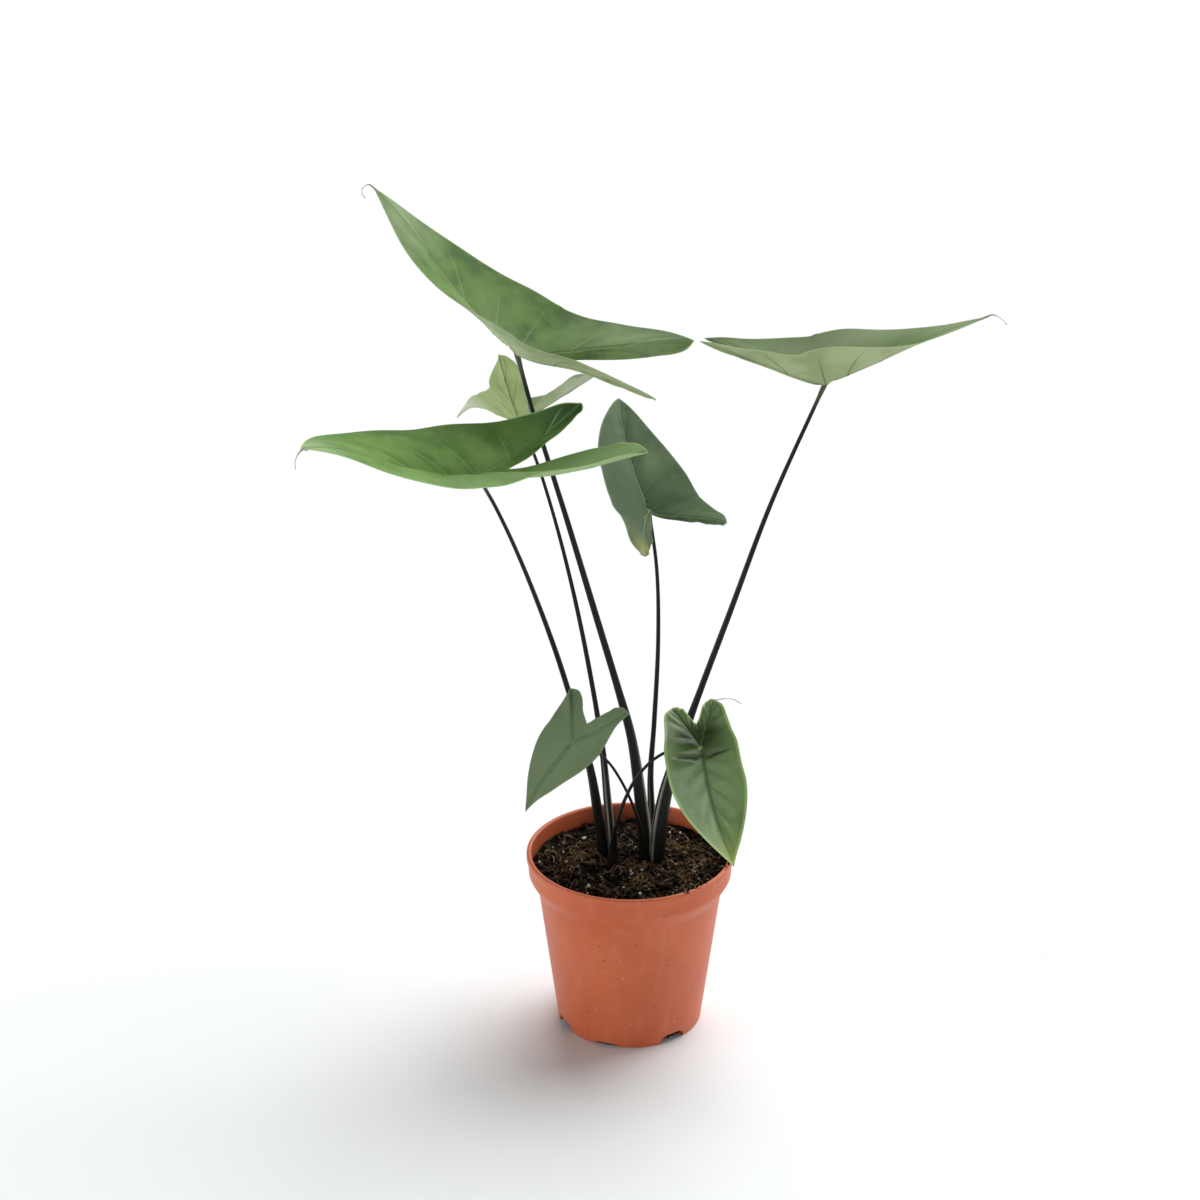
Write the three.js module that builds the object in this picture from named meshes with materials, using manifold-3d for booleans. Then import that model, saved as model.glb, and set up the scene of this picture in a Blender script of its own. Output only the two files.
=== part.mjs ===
// A young arrow-leaved house plant in its nursery pot: seven leaves, each a blade on a dark stalk, stand in
// dark potting soil. Millimetres, +Z up, -Y towards the viewer, the origin at the middle of the pot's foot.
import * as THREE from 'three';
import { mergeVertices } from 'three/addons/utils/BufferGeometryUtils.js';
import Module from 'manifold-3d';

const wasm = await Module();
wasm.setup();

const CLEARANCE = 0.3; // between pieces that touch on the real plant

// The pot: a thin moulded wall, a hollow flare above it and a rolled lip
const POT_HEIGHT = 108;
const RIM_RADIUS = 60;
const FOOT_RADIUS = 42;
const WALL = 1.5;
const WALL_TOP = 86.5;
const WALL_TOP_RADIUS = 53.4;
const FLARE = [[1.3, 1.2], [2.9, 3.7], [4.3, 6.3], [5.4, 9.1]]; // each corner, out and up from the wall's top
const LIP_HEIGHT = 4.6;
const LIP_WIDTH = 2.8;
const FLOOR_UNDERSIDE = 3.5;
const FLOOR_TOP = 5.1;
const FOOT_RING_WIDTH = 3;
const CENTRE_PAD_RADIUS = 14;
const POT_SIDES = 48;

// The notches in the foot ring, by the angle of their middles; the deep ones reach the soil and drain it
const DEEP_NOTCHES_DEG = [-54, 81, 205];
const SHALLOW_NOTCHES_DEG = [21, 141, 250];
const NOTCH_WIDTH = 16.5;
const NOTCH_REACH = 13;
const DEEP_NOTCH = 5.6;
const SHALLOW_NOTCH = 2.2;

// The soil
const SOIL_LEVEL = 97.5;
const SOIL_MOUND = 3.5;
const CRUMB_RELIEF = 1.1;
const SOIL_RINGS = 7;
const STALK_FOOT = 74; // the stalks stand this high above the pot's foot, down inside the soil

// The blades
const BLADE_THICKNESS = 0.8;
const MIDRIB_COLUMNS = 11;
const LOBE_COLUMNS = 7;
const OUTER_ROWS = 4;
const INNER_ROWS = 2;
const DRIP_ROOT = 5; // how deep the thread at the tip is rooted in the blade
const DRIP_ROOT_RADIUS = 0.85;
const DRIP_END_RADIUS = 0.4;
const DRIP_STEPS = 12;
const DRIP_SIDES = 6;

// The stalks
const STALK_SIDES = 8;
const STALK_STEPS = 14;

const COLOURS = {
  pot: 0xb85f43,
  soil: 0x2f2219,
  stalk: 0x23241f,
  green: 0x4f7f3f,
  darkGreen: 0x3b5a41,
  paleGreen: 0x8d9a58,
};

/*
 Each leaf, from the top of the plant down. The blade is arrow shaped: a long front half that ends in the
 tip, and two lobes that point back past the joint with the stalk.
   joint: where the stalk meets the blade; heading: the way the tip points, seen from above, from +X
   climb, roll: the tilt of the blade at the joint
   tipLength, halfWidth, lobeLength, lobeSpread: its flat outline; fullness: how much the front half bulges
   lobeWidths: the half width at the root, the middle and the end of a lobe; innerWidth: how far the left and
   the right lobe reach inwards from their ribs; sinus: how far behind the joint the lobes part
   folds: the angle that each half rises by at the joint, at the tip, at the lobes' ends, and between the ribs
   arch: how the midrib's slope changes to the tip, in degrees, in step with s and with s squared
   lobeDrop: how the left and right lobes droop, and how this grows to their ends, over dropLength
   cup, twist, sweep: the halves' curl, the tip's turn about the midrib, and its turn in plan
   drip: the thread that the tip ends in, as offsets from the tip
   stalk: its points from the soil to the blade; girth: its radius at the soil, at half height and at the top;
   approach: how far below the blade it turns to meet it square
*/
const LEAVES = [
  {
    name: 'high_left', colour: 'green', joint: [-63, 12, 412.5],
    heading: 157.2, climb: 30.9, roll: 11.3,
    tipLength: 120.5, halfWidth: 49, lobeLength: 99.5, lobeSpread: 40,
    fullness: 0.34, lobeWidths: [0.67, 0.35, 0.15], innerWidth: [0.17, 0.4], sinus: 0.035,
    folds: [21.5, -5, 24.5, 47.5], arch: [57, -49.5], lobeDrop: [-4, 10, -5], dropLength: 0.8,
    cup: 8, twist: -26, sweep: -3,
    drip: [[-2.5, 0, 1.5], [-5.5, 0, 0], [-6.5, 0, -3.5], [-4.5, 0, -6.5]],
    stalk: [[9, 12, 108], [6, 12, 138], [1, 12, 174], [-7, 12, 206], [-19, 12, 250], [-36, 12, 312],
      [-55, 12, 379]],
    girth: [4.4, 2.1, 1.2], approach: 0,
  },
  {
    name: 'right', colour: 'green', joint: [106.5, 10.5, 395],
    heading: -3.4, climb: 22.7, roll: -11.3,
    tipLength: 97, halfWidth: 35, lobeLength: 80, lobeSpread: 45.5,
    fullness: -0.26, lobeWidths: [0.57, 0.29, 0.13], innerWidth: [0.09, 0.13], sinus: 0.035,
    folds: [37.5, 3.5, 31.5, 53.5], arch: [17, -18.5], lobeDrop: [-5.5, 5.5, 1], dropLength: 0.45,
    cup: 8.5, twist: 22.5, sweep: -4,
    drip: [[2.5, 0, 0.8], [6.5, 0, -0.9], [10.5, 0, -5]],
    stalk: [[16, 4, 109], [20, 5, 141], [29, 6, 174], [40, 6, 209], [56, 7, 257], [78, 9, 323]],
    girth: [5, 1.9, 1.1], approach: 0,
  },
  {
    name: 'front_left', colour: 'green', joint: [-82.5, -72, 374.5],
    heading: 206.5, climb: 0.8, roll: -1.7,
    tipLength: 117.5, halfWidth: 44.5, lobeLength: 92, lobeSpread: 26.5,
    fullness: 2.35, lobeWidths: [0.56, 0.3, 0.15], innerWidth: [0.95, 0.52], sinus: 0.15,
    folds: [33, 4, 45.5, -4.5], arch: [101.5, -92], lobeDrop: [25.5, 21, -5], dropLength: 0.8,
    cup: -32.5, twist: -2, sweep: 23.5,
    drip: [[-1.5, -0.5, -3], [-3, -1, -7], [-3, -1, -11]],
    stalk: [[-16, 8, 107], [-19, 5, 132], [-23, 0, 161], [-32, -9, 203], [-43, -22, 249], [-60, -44, 310],
      [-73, -61, 350]],
    girth: [3.2, 1.7, 1], approach: 0,
  },
  {
    name: 'back', colour: 'darkGreen', joint: [10.5, 39, 306],
    heading: 109, climb: 19.2, roll: 7,
    tipLength: 98, halfWidth: 29, lobeLength: 55.5, lobeSpread: 38,
    fullness: 0.89, lobeWidths: [0.69, 0.41, 0.22], innerWidth: [0.69, 0.25], sinus: 0.035,
    folds: [24, 12, 13, 40.5], arch: [46.5, -65], lobeDrop: [-3, 24, -21], dropLength: 1,
    cup: -2, twist: -10.5, sweep: -23.5,
    drip: [],
    stalk: [[13, 23, 112], [12, 25, 144], [14, 28, 178], [16, 32, 228], [15, 36, 270]],
    girth: [2.4, 1.5, 1], approach: 0,
  },
  {
    name: 'pale_left', colour: 'paleGreen', joint: [-64, 60, 354],
    heading: 120.4, climb: -24.8, roll: 15,
    tipLength: 80.5, halfWidth: 24, lobeLength: 55, lobeSpread: 34,
    fullness: -0.24, lobeWidths: [0.69, 0.46, 0.19], innerWidth: [1.08, 1.59], sinus: 0.17,
    folds: [43, 31, 82, 21.5], arch: [87.5, -116.5], lobeDrop: [38, 20.5, -4], dropLength: 0.45,
    cup: -10.5, twist: 0, sweep: 3,
    drip: [],
    stalk: [[-11, 17, 105], [-13, 21, 129], [-16, 27, 160], [-22, 33, 199], [-32, 42, 250], [-44, 51, 298],
      [-55, 57, 333]],
    girth: [2.6, 1.5, 0.9], approach: 0,
  },
  {
    name: 'low_left', colour: 'darkGreen', joint: [-32.5, -48, 202.5],
    heading: 231.9, climb: -24, roll: -12.8,
    tipLength: 54, halfWidth: 18.5, lobeLength: 36.5, lobeSpread: 37,
    fullness: 0.27, lobeWidths: [0.63, 0.31, 0.12], innerWidth: [1.27, 1.02], sinus: 0.26,
    folds: [8.5, -8.5, 47.5, 6], arch: [11.5, -10.5], lobeDrop: [26, -3.5, 8], dropLength: 0.45,
    cup: -2.5, twist: -4, sweep: 17.5,
    drip: [],
    stalk: [[8, 1, 106], [6, -4, 125], [1, -12, 145], [-6, -24, 167], [-14, -37, 186], [-23, -44, 196.5]],
    girth: [2.5, 0.85, 0.75], approach: 5,
  },
  {
    name: 'low_right', colour: 'green', joint: [39, -34, 192],
    heading: 280.6, climb: -38.2, roll: 9.4,
    tipLength: 74, halfWidth: 21.5, lobeLength: 32.5, lobeSpread: 21.5,
    fullness: 3.33, lobeWidths: [0.73, 0.48, 0.29], innerWidth: [0.62, 0.65], sinus: 0.21,
    folds: [17.5, 16.5, 12.5, -3.5], arch: [15.5, -27.5], lobeDrop: [-5.5, -15, -4], dropLength: 0.8,
    cup: -2, twist: -37, sweep: 17,
    drip: [],
    stalk: [[-10, -8, 111], [-8, -17, 134], [-3, -23, 154], [4, -28, 171], [14, -31, 184], [26, -31, 190]],
    girth: [3.6, 1.1, 0.8], approach: 5,
  },
];

const radians = THREE.MathUtils.degToRad;
const { clamp, lerp, smoothstep } = THREE.MathUtils;

// A repeatable random number from 0 to 1 for a pair of whole numbers
function speckle(i, j) {
  const wave = Math.sin(i * 127.1 + j * 311.7) * 43758.5453;
  return wave - Math.floor(wave);
}

// Mesh data with shared corners, from corner positions and index triples
function closedGeometry(points, triangles) {
  const geometry = new THREE.BufferGeometry();
  geometry.setAttribute('position', new THREE.Float32BufferAttribute(points.flatMap((p) => p.toArray()), 3));
  geometry.setIndex(triangles.flat());
  return geometry;
}

function toSolid(geometry) {
  const bare = geometry.clone();
  bare.deleteAttribute('normal');
  bare.deleteAttribute('uv');
  const merged = mergeVertices(bare, 1e-4);
  return new wasm.Manifold(new wasm.Mesh({
    numProp: 3,
    vertProperties: new Float32Array(merged.attributes.position.array),
    triVerts: new Uint32Array(merged.index.array),
  }));
}

function fromSolid(solid) {
  const mesh = solid.getMesh();
  const geometry = new THREE.BufferGeometry();
  geometry.setAttribute('position', new THREE.BufferAttribute(mesh.vertProperties, 3));
  geometry.setIndex(new THREE.BufferAttribute(mesh.triVerts, 1));
  return geometry;
}

function material(colour, roughness) {
  const color = COLOURS[colour];
  return new THREE.MeshStandardMaterial({ color, roughness, metalness: 0, flatShading: true });
}

// The flat outline of one half of a blade: x runs from the joint to the tip, y outwards from the midrib.
// The rib rail runs down the midrib and back along the lobe's rib; the outer and inner rails are the margins.
// side is 1 for the left half and -1 for the right one.
function bladeRails(leaf, side) {
  const spread = radians(leaf.lobeSpread);
  const along = new THREE.Vector2(-Math.cos(spread), Math.sin(spread));
  const across = new THREE.Vector2(Math.sin(spread), Math.cos(spread));
  const front = (x, y) => new THREE.Vector2(x * leaf.tipLength, y * leaf.halfWidth);
  const lobe = (x, y) => new THREE.Vector2()
    .addScaledVector(along, x * leaf.lobeLength)
    .addScaledVector(across, y * leaf.halfWidth);
  const full = leaf.fullness;
  const [lobeRoot, lobeMiddle, lobeEnd] = leaf.lobeWidths;
  const [innerLeft, innerRight] = leaf.innerWidth;
  const inner = [[0.55, 0.36], [0.78, 0.36], [0.93, 0.26]].map(([x, y]) => {
    const point = lobe(x, -y * (side > 0 ? innerLeft : innerRight));
    point.y = Math.max(point.y, 0.04 * leaf.halfWidth + 0.06 * x * leaf.halfWidth);
    return point;
  });
  return {
    outer: new THREE.SplineCurve([
      front(1, 0), front(0.8, 0.17 + 0.1 * full), front(0.6, 0.43 + 0.12 * full),
      front(0.4, 0.68 + 0.1 * full), front(0.2, 0.91 + 0.03 * full), front(0.02, 1),
      lobe(0.42, lobeRoot), lobe(0.7, lobeMiddle), lobe(0.9, lobeEnd), lobe(1, 0),
    ]),
    rib: new THREE.SplineCurve([
      front(1, 0), front(0.74, 0), front(0.48, 0), front(0.27, 0), front(0.11, 0), front(0, 0),
      lobe(0.25, 0), lobe(0.55, 0), lobe(0.82, 0), lobe(1, 0),
    ]),
    inner: new THREE.SplineCurve([front(-leaf.sinus, 0), ...inner, lobe(1, 0)]),
  };
}

const JOINT_AT = 5 / 9; // where the rib rail passes the joint, as a share of its spans
const LOBE_START = 0.45; // the share of a lobe over which the blade between the ribs takes its own angle

// The curved spine that the flat blade is hung on: from the joint to the tip, or back along the lobes
function bladeSpine(leaf, drop) {
  const steps = 40;
  const reach = 1.3;
  const [archStart, archEnd] = leaf.arch;
  const lobeSpan = leaf.lobeLength * Math.cos(radians(leaf.lobeSpread));
  const tangentAhead = (s) => {
    const rise = radians(archStart * s + archEnd * s * s);
    const turn = radians(leaf.sweep * s * s);
    const level = Math.cos(rise);
    return new THREE.Vector3(level * Math.cos(turn), level * Math.sin(turn), Math.sin(rise));
  };
  const tangentBehind = (s) => {
    const fall = -radians(drop * smoothstep(s, 0, leaf.dropLength) + leaf.lobeDrop[2] * s * s);
    return new THREE.Vector3(Math.cos(fall), 0, Math.sin(fall));
  };
  const run = (tangent, length) => {
    const points = [new THREE.Vector3()];
    for (let i = 1; i <= steps; i += 1) {
      const middle = tangent((i - 0.5) / steps * reach);
      points.push(points[i - 1].clone().addScaledVector(middle, length * reach / steps));
    }
    return (s) => {
      const place = clamp(s / reach * steps, 0, steps - 1e-6);
      const i = Math.floor(place);
      return points[i].clone().lerp(points[i + 1], place - i);
    };
  };
  const ahead = run(tangentAhead, leaf.tipLength);
  const behind = run(tangentBehind, -lobeSpan);
  return (x) => (x >= 0
    ? { point: ahead(x / leaf.tipLength), tangent: tangentAhead(x / leaf.tipLength), s: x / leaf.tipLength }
    : { point: behind(-x / lobeSpan), tangent: tangentBehind(-x / lobeSpan), s: -x / lobeSpan });
}

// Lifts a point of the flat blade onto the bent, folded and cupped one
function placeOnBlade(leaf, spine, side, flat) {
  const { point, tangent, s } = spine(flat.x);
  const ahead = flat.x >= 0;
  const turn = ahead ? radians(leaf.sweep * s * s) : 0;
  const twist = ahead ? radians(leaf.twist * s * s) : 0;
  const level = new THREE.Vector3(-Math.sin(turn), Math.cos(turn), 0);
  const up = tangent.clone().cross(level);
  const sideways = level.clone().multiplyScalar(Math.cos(twist)).addScaledVector(up, Math.sin(twist));
  const normal = up.multiplyScalar(Math.cos(twist)).addScaledVector(level, -Math.sin(twist));
  const [foldJoint, foldTip, foldLobe, foldInner] = leaf.folds.map(radians);
  const fold = lerp(foldJoint, ahead ? foldTip : foldLobe, smoothstep(s, 0, 1));
  const between = lerp(foldJoint + radians(leaf.cup), foldInner, smoothstep(s, 0, LOBE_START));
  const ribOffset = ahead ? 0 : -flat.x * Math.tan(radians(leaf.lobeSpread));
  const inner = Math.min(flat.y, ribOffset);
  const outer = Math.max(flat.y - ribOffset, 0);
  const curl = (radians(leaf.cup) || 1e-6) / leaf.halfWidth;
  const out = inner * Math.cos(between) + (Math.sin(fold + curl * outer) - Math.sin(fold)) / curl;
  const rise = inner * Math.sin(between) + (Math.cos(fold) - Math.cos(fold + curl * outer)) / curl;
  return point.clone().addScaledVector(sideways, side * out).addScaledVector(normal, rise);
}

// The middle surface of a blade, as corners and triangles that face up; corners on the midrib are shared
function bladeSurface(leaf) {
  const meanDrop = (leaf.lobeDrop[0] + leaf.lobeDrop[1]) / 2;
  const middleSpine = bladeSpine(leaf, meanDrop);
  const points = [];
  const triangles = [];
  const known = new Map();
  const corner = (side, spine, flat) => {
    const onMidline = flat.y < 1e-6;
    const key = `${onMidline ? 0 : side},${flat.x.toFixed(4)},${flat.y.toFixed(4)}`;
    if (!known.has(key)) {
      const middle = placeOnBlade(leaf, middleSpine, side, flat);
      const own = placeOnBlade(leaf, spine, side, flat);
      const ribOffset = -flat.x * Math.tan(radians(leaf.lobeSpread));
      const share = flat.x >= 0 ? 1 : clamp(flat.y / ribOffset, 0, 1);
      known.set(key, points.length);
      points.push(middle.lerp(own, onMidline ? 0 : share));
    }
    return known.get(key);
  };
  const strip = (side, spine, columns, edgeA, edgeB, rows, flip) => {
    const grid = columns.map((t) => {
      const a = edgeA(t);
      const b = edgeB(t);
      return Array.from({ length: rows + 1 }, (_, j) => corner(side, spine, a.clone().lerp(b, j / rows)));
    });
    for (let i = 0; i + 1 < grid.length; i += 1) {
      for (let j = 0; j < rows; j += 1) {
        const [a, b, c, d] = [grid[i][j], grid[i + 1][j], grid[i + 1][j + 1], grid[i][j + 1]];
        const pair = (i + j) % 2 ? [[a, b, c], [a, c, d]] : [[a, b, d], [b, c, d]];
        for (const t of pair) {
          if (new Set(t).size === 3) triangles.push(flip ? [t[0], t[2], t[1]] : t);
        }
      }
    }
  };
  const spans = (count, from, to) => Array.from({ length: count + 1 }, (_, i) => lerp(from, to, i / count));
  for (const [side, drop] of [[1, leaf.lobeDrop[0]], [-1, leaf.lobeDrop[1]]]) {
    const spine = bladeSpine(leaf, drop);
    const rails = bladeRails(leaf, side);
    const columns = [...spans(MIDRIB_COLUMNS, 0, JOINT_AT), ...spans(LOBE_COLUMNS, JOINT_AT, 1).slice(1)];
    const behind = spans(LOBE_COLUMNS, 0, 1);
    const rib = (t) => rails.rib.getPoint(t);
    const lobeRib = (t) => rib(lerp(JOINT_AT, 1, t));
    strip(side, spine, columns, rib, (t) => rails.outer.getPoint(t), OUTER_ROWS, side < 0);
    strip(side, spine, behind, lobeRib, (t) => rails.inner.getPoint(t), INNER_ROWS, side > 0);
  }
  return { points, triangles };
}

// Gives a surface its thickness: the same triangles above and below, joined round the open margin
function thicken({ points, triangles }, thickness) {
  const normals = points.map(() => new THREE.Vector3());
  for (const [a, b, c] of triangles) {
    const face = points[b].clone().sub(points[a]).cross(points[c].clone().sub(points[a]));
    for (const k of [a, b, c]) normals[k].add(face);
  }
  normals.forEach((n) => n.normalize());
  const top = points.map((p, k) => p.clone().addScaledVector(normals[k], thickness / 2));
  const bottom = points.map((p, k) => p.clone().addScaledVector(normals[k], -thickness / 2));
  const count = points.length;
  const faces = [];
  const edges = new Set(triangles.flatMap(([a, b, c]) => [`${a},${b}`, `${b},${c}`, `${c},${a}`]));
  for (const [a, b, c] of triangles) {
    faces.push([a, b, c], [a + count, c + count, b + count]);
    for (const [from, to] of [[a, b], [b, c], [c, a]]) {
      if (!edges.has(`${to},${from}`)) {
        faces.push([from, from + count, to + count], [from, to + count, to]);
      }
    }
  }
  return closedGeometry([...top, ...bottom], faces);
}

// A round tube along a curve, closed at both ends. radiusAt gives its radius from 0 to 1 along the way.
function taperedTube(curve, steps, sides, radiusAt) {
  const points = [];
  const triangles = [];
  const frames = curve.computeFrenetFrames(steps, false);
  for (let i = 0; i <= steps; i += 1) {
    const centre = curve.getPointAt(i / steps);
    for (let k = 0; k < sides; k += 1) {
      const turn = k / sides * 2 * Math.PI;
      const radius = radiusAt(i / steps);
      points.push(centre.clone()
        .addScaledVector(frames.normals[i], radius * Math.cos(turn))
        .addScaledVector(frames.binormals[i], radius * Math.sin(turn)));
    }
  }
  for (let i = 0; i < steps; i += 1) {
    for (let k = 0; k < sides; k += 1) {
      const next = (k + 1) % sides;
      const [a, b, c, d] = [i * sides + k, i * sides + next, (i + 1) * sides + next, (i + 1) * sides + k];
      triangles.push([a, b, c], [a, c, d]);
    }
  }
  const first = points.push(curve.getPointAt(0)) - 1;
  const last = points.push(curve.getPointAt(1)) - 1;
  for (let k = 0; k < sides; k += 1) {
    const next = (k + 1) % sides;
    triangles.push([first, next, k], [last, steps * sides + k, steps * sides + next]);
  }
  return closedGeometry(points, triangles);
}

// One blade in its own frame, with the drip thread fused to its tip
function bladeMesh(leaf) {
  const surface = bladeSurface(leaf);
  const mesh = new THREE.Mesh(thicken(surface, BLADE_THICKNESS), material(leaf.colour, 0.5));
  mesh.name = `blade_${leaf.name}`;
  mesh.position.set(...leaf.joint);
  mesh.rotation.set(radians(leaf.roll), -radians(leaf.climb), radians(leaf.heading), 'ZYX');
  if (leaf.drip.length > 0) {
    const tip = surface.points[0];
    const undo = mesh.quaternion.clone().invert();
    const inward = tip.clone().negate().setLength(DRIP_ROOT);
    const route = [tip.clone().add(inward), tip.clone().addScaledVector(inward, 0.4)];
    for (const offset of leaf.drip) {
      route.push(new THREE.Vector3(...offset).applyQuaternion(undo).add(tip));
    }
    const thread = taperedTube(new THREE.CatmullRomCurve3(route), DRIP_STEPS, DRIP_SIDES,
      (t) => lerp(DRIP_ROOT_RADIUS, DRIP_END_RADIUS, t));
    mesh.geometry = fromSolid(toSolid(mesh.geometry).add(toSolid(thread)));
  }
  return mesh;
}

// The stalk's route: straight up through the soil, along its points, and up to the blade's underside
function stalkRoute(leaf, blade) {
  const [soilRadius, , topRadius] = leaf.girth;
  const under = new THREE.Vector3(0, 0, -1).applyQuaternion(blade.quaternion);
  const gap = BLADE_THICKNESS / 2 + CLEARANCE;
  const end = blade.position.clone().addScaledVector(under, gap + topRadius * 0.4);
  const turnAt = leaf.approach > 0 ? [end.clone().addScaledVector(under, leaf.approach)] : [];
  const [x, y] = leaf.stalk[0];
  const foot = new THREE.Vector3(x, y, STALK_FOOT + soilRadius);
  return [foot, ...leaf.stalk.map((p) => new THREE.Vector3(...p)), ...turnAt, end];
}

function stalkMesh(leaf, blade) {
  const [soilRadius, middleRadius, topRadius] = leaf.girth;
  const curve = new THREE.CatmullRomCurve3(stalkRoute(leaf, blade), false, 'centripetal');
  const radiusAt = (t) => {
    const sheath = 1 - smoothstep(t, 0.08, 0.42);
    const slender = lerp(middleRadius, topRadius, smoothstep(t, 0.3, 1));
    const rounded = t > 0.99 ? 0.8 : 1;
    return lerp(slender, soilRadius, sheath) * rounded;
  };
  const tube = taperedTube(curve, STALK_STEPS, STALK_SIDES, radiusAt);
  const mesh = new THREE.Mesh(tube, material('stalk', 0.45));
  mesh.name = `stalk_${leaf.name}`;
  return mesh;
}

// The radius and height of each corner of the pot's wall, up its outside and down its inside
const wallRadius = (z) => lerp(FOOT_RADIUS, WALL_TOP_RADIUS, z / WALL_TOP);
const LIP_BOTTOM = POT_HEIGHT - LIP_HEIGHT;
const flare = FLARE.map(([out, up]) => [WALL_TOP_RADIUS + out, WALL_TOP + up]);
const NECK_RADIUS = flare.at(-1)[0];
const POT_OUTSIDE = [
  [FOOT_RADIUS, 0], [WALL_TOP_RADIUS, WALL_TOP], ...flare,
  [NECK_RADIUS + 0.2, LIP_BOTTOM], [RIM_RADIUS - 0.4, LIP_BOTTOM], [RIM_RADIUS, LIP_BOTTOM + 0.6],
  [RIM_RADIUS, POT_HEIGHT - 1.1], [RIM_RADIUS - 1, POT_HEIGHT],
];
const POT_INSIDE = [
  [RIM_RADIUS - LIP_WIDTH + 0.8, POT_HEIGHT], [RIM_RADIUS - LIP_WIDTH, POT_HEIGHT - 1],
  ...flare.toReversed().map(([radius, z]) => [radius - WALL, z]),
  [WALL_TOP_RADIUS - WALL, WALL_TOP], [wallRadius(FLOOR_TOP) - WALL, FLOOR_TOP],
];

// The pot, turned from its profile, with the notches cut through its foot ring
function potMesh() {
  const ringInside = FOOT_RADIUS - FOOT_RING_WIDTH;
  const underside = [
    [0, 0], [CENTRE_PAD_RADIUS, 0], [CENTRE_PAD_RADIUS, FLOOR_UNDERSIDE],
    [ringInside, FLOOR_UNDERSIDE], [ringInside, 0],
  ];
  const profile = [...underside, ...POT_OUTSIDE, ...POT_INSIDE, [0, FLOOR_TOP]];
  const corners = profile.map(([radius, z]) => new THREE.Vector2(radius, z));
  let solid = toSolid(new THREE.LatheGeometry(corners, POT_SIDES).rotateX(Math.PI / 2));
  for (const [height, angles] of [[DEEP_NOTCH, DEEP_NOTCHES_DEG], [SHALLOW_NOTCH, SHALLOW_NOTCHES_DEG]]) {
    for (const angle of angles) {
      const cutter = new THREE.BoxGeometry(NOTCH_REACH, NOTCH_WIDTH, 2 * height);
      cutter.translate(FOOT_RADIUS, 0, 0).rotateZ(radians(angle));
      solid = solid.subtract(toSolid(cutter));
    }
  }
  const mesh = new THREE.Mesh(fromSolid(solid), material('pot', 0.55));
  mesh.name = 'pot';
  return mesh;
}

// The pot's inner radius at a height above its floor
function insideRadius(z) {
  const above = POT_INSIDE.findLastIndex(([, height]) => height >= z);
  const [upperRadius, upper] = POT_INSIDE[above];
  const [lowerRadius, lower] = POT_INSIDE[above + 1] ?? POT_INSIDE[above];
  return upper === lower ? upperRadius : lerp(lowerRadius, upperRadius, (z - lower) / (upper - lower));
}

// The soil: a crumbly mound that fills the pot to below its rim, with a plain hole for each stalk
function soilMesh(blades) {
  const bottom = FLOOR_TOP + CLEARANCE;
  const edgeRadius = insideRadius(SOIL_LEVEL) - CLEARANCE;
  const points = [new THREE.Vector3(0, 0, SOIL_LEVEL + SOIL_MOUND)];
  const triangles = [];
  const addRing = (radius, heightAt) => {
    for (let k = 0; k < POT_SIDES; k += 1) {
      const turn = k / POT_SIDES * 2 * Math.PI;
      points.push(new THREE.Vector3(radius * Math.cos(turn), radius * Math.sin(turn), heightAt(k)));
    }
  };
  for (let i = 1; i <= SOIL_RINGS; i += 1) {
    const share = i / SOIL_RINGS;
    const mound = SOIL_MOUND * (1 - smoothstep(share, 0.1, 0.9));
    const relief = share < 1 ? CRUMB_RELIEF : 0;
    addRing(edgeRadius * share, (k) => SOIL_LEVEL + mound + relief * (2 * speckle(i, k) - 1));
  }
  const below = POT_INSIDE.map(([, z]) => z).filter((z) => z < SOIL_LEVEL && z > FLOOR_TOP);
  const sideHeights = [...below, bottom];
  for (const z of sideHeights) addRing(insideRadius(z) - CLEARANCE, () => z);
  points.push(new THREE.Vector3(0, 0, bottom));
  const rings = SOIL_RINGS + sideHeights.length;
  const lastRing = 1 + (rings - 1) * POT_SIDES;
  for (let k = 0; k < POT_SIDES; k += 1) {
    const next = (k + 1) % POT_SIDES;
    triangles.push([0, 1 + k, 1 + next], [points.length - 1, lastRing + next, lastRing + k]);
    for (let i = 0; i + 1 < rings; i += 1) {
      const [a, b] = [1 + i * POT_SIDES + k, 1 + i * POT_SIDES + next];
      triangles.push([a, a + POT_SIDES, b + POT_SIDES], [a, b + POT_SIDES, b]);
    }
  }
  let solid = toSolid(closedGeometry(points, triangles));
  for (const leaf of LEAVES) {
    const [foot, atSoil, above] = stalkRoute(leaf, blades.get(leaf.name));
    const deeper = foot.clone().setZ(foot.z - CLEARANCE);
    const curve = new THREE.CatmullRomCurve3([deeper, atSoil, above], false, 'centripetal');
    const radius = leaf.girth[0] + 2 * CLEARANCE;
    solid = solid.subtract(toSolid(taperedTube(curve, 8, STALK_SIDES, () => radius)));
  }
  const mesh = new THREE.Mesh(fromSolid(solid), material('soil', 0.95));
  mesh.name = 'soil';
  return mesh;
}

const plant = new THREE.Group();
plant.name = 'plant';
const blades = new Map();
for (const leaf of LEAVES) {
  const blade = bladeMesh(leaf);
  blades.set(leaf.name, blade);
  plant.add(stalkMesh(leaf, blade), blade);
}

const group = new THREE.Group();
group.add(potMesh(), soilMesh(blades), plant);

export default group;
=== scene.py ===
"""The finished look of a young arrow-leaved house plant in its nursery pot.

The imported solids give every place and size. Each of them gets its fine surface here: blades with sunken
ribs, quilting and a thin pale margin, dark stalks with channelled sheaths, a smooth moulded pot, and loose
soil with crumbs, fibres and white grains. Lengths are in millimetres and angles in degrees unless a name
says otherwise.
"""
import logging
from dataclasses import dataclass, field
from enum import Enum

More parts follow.
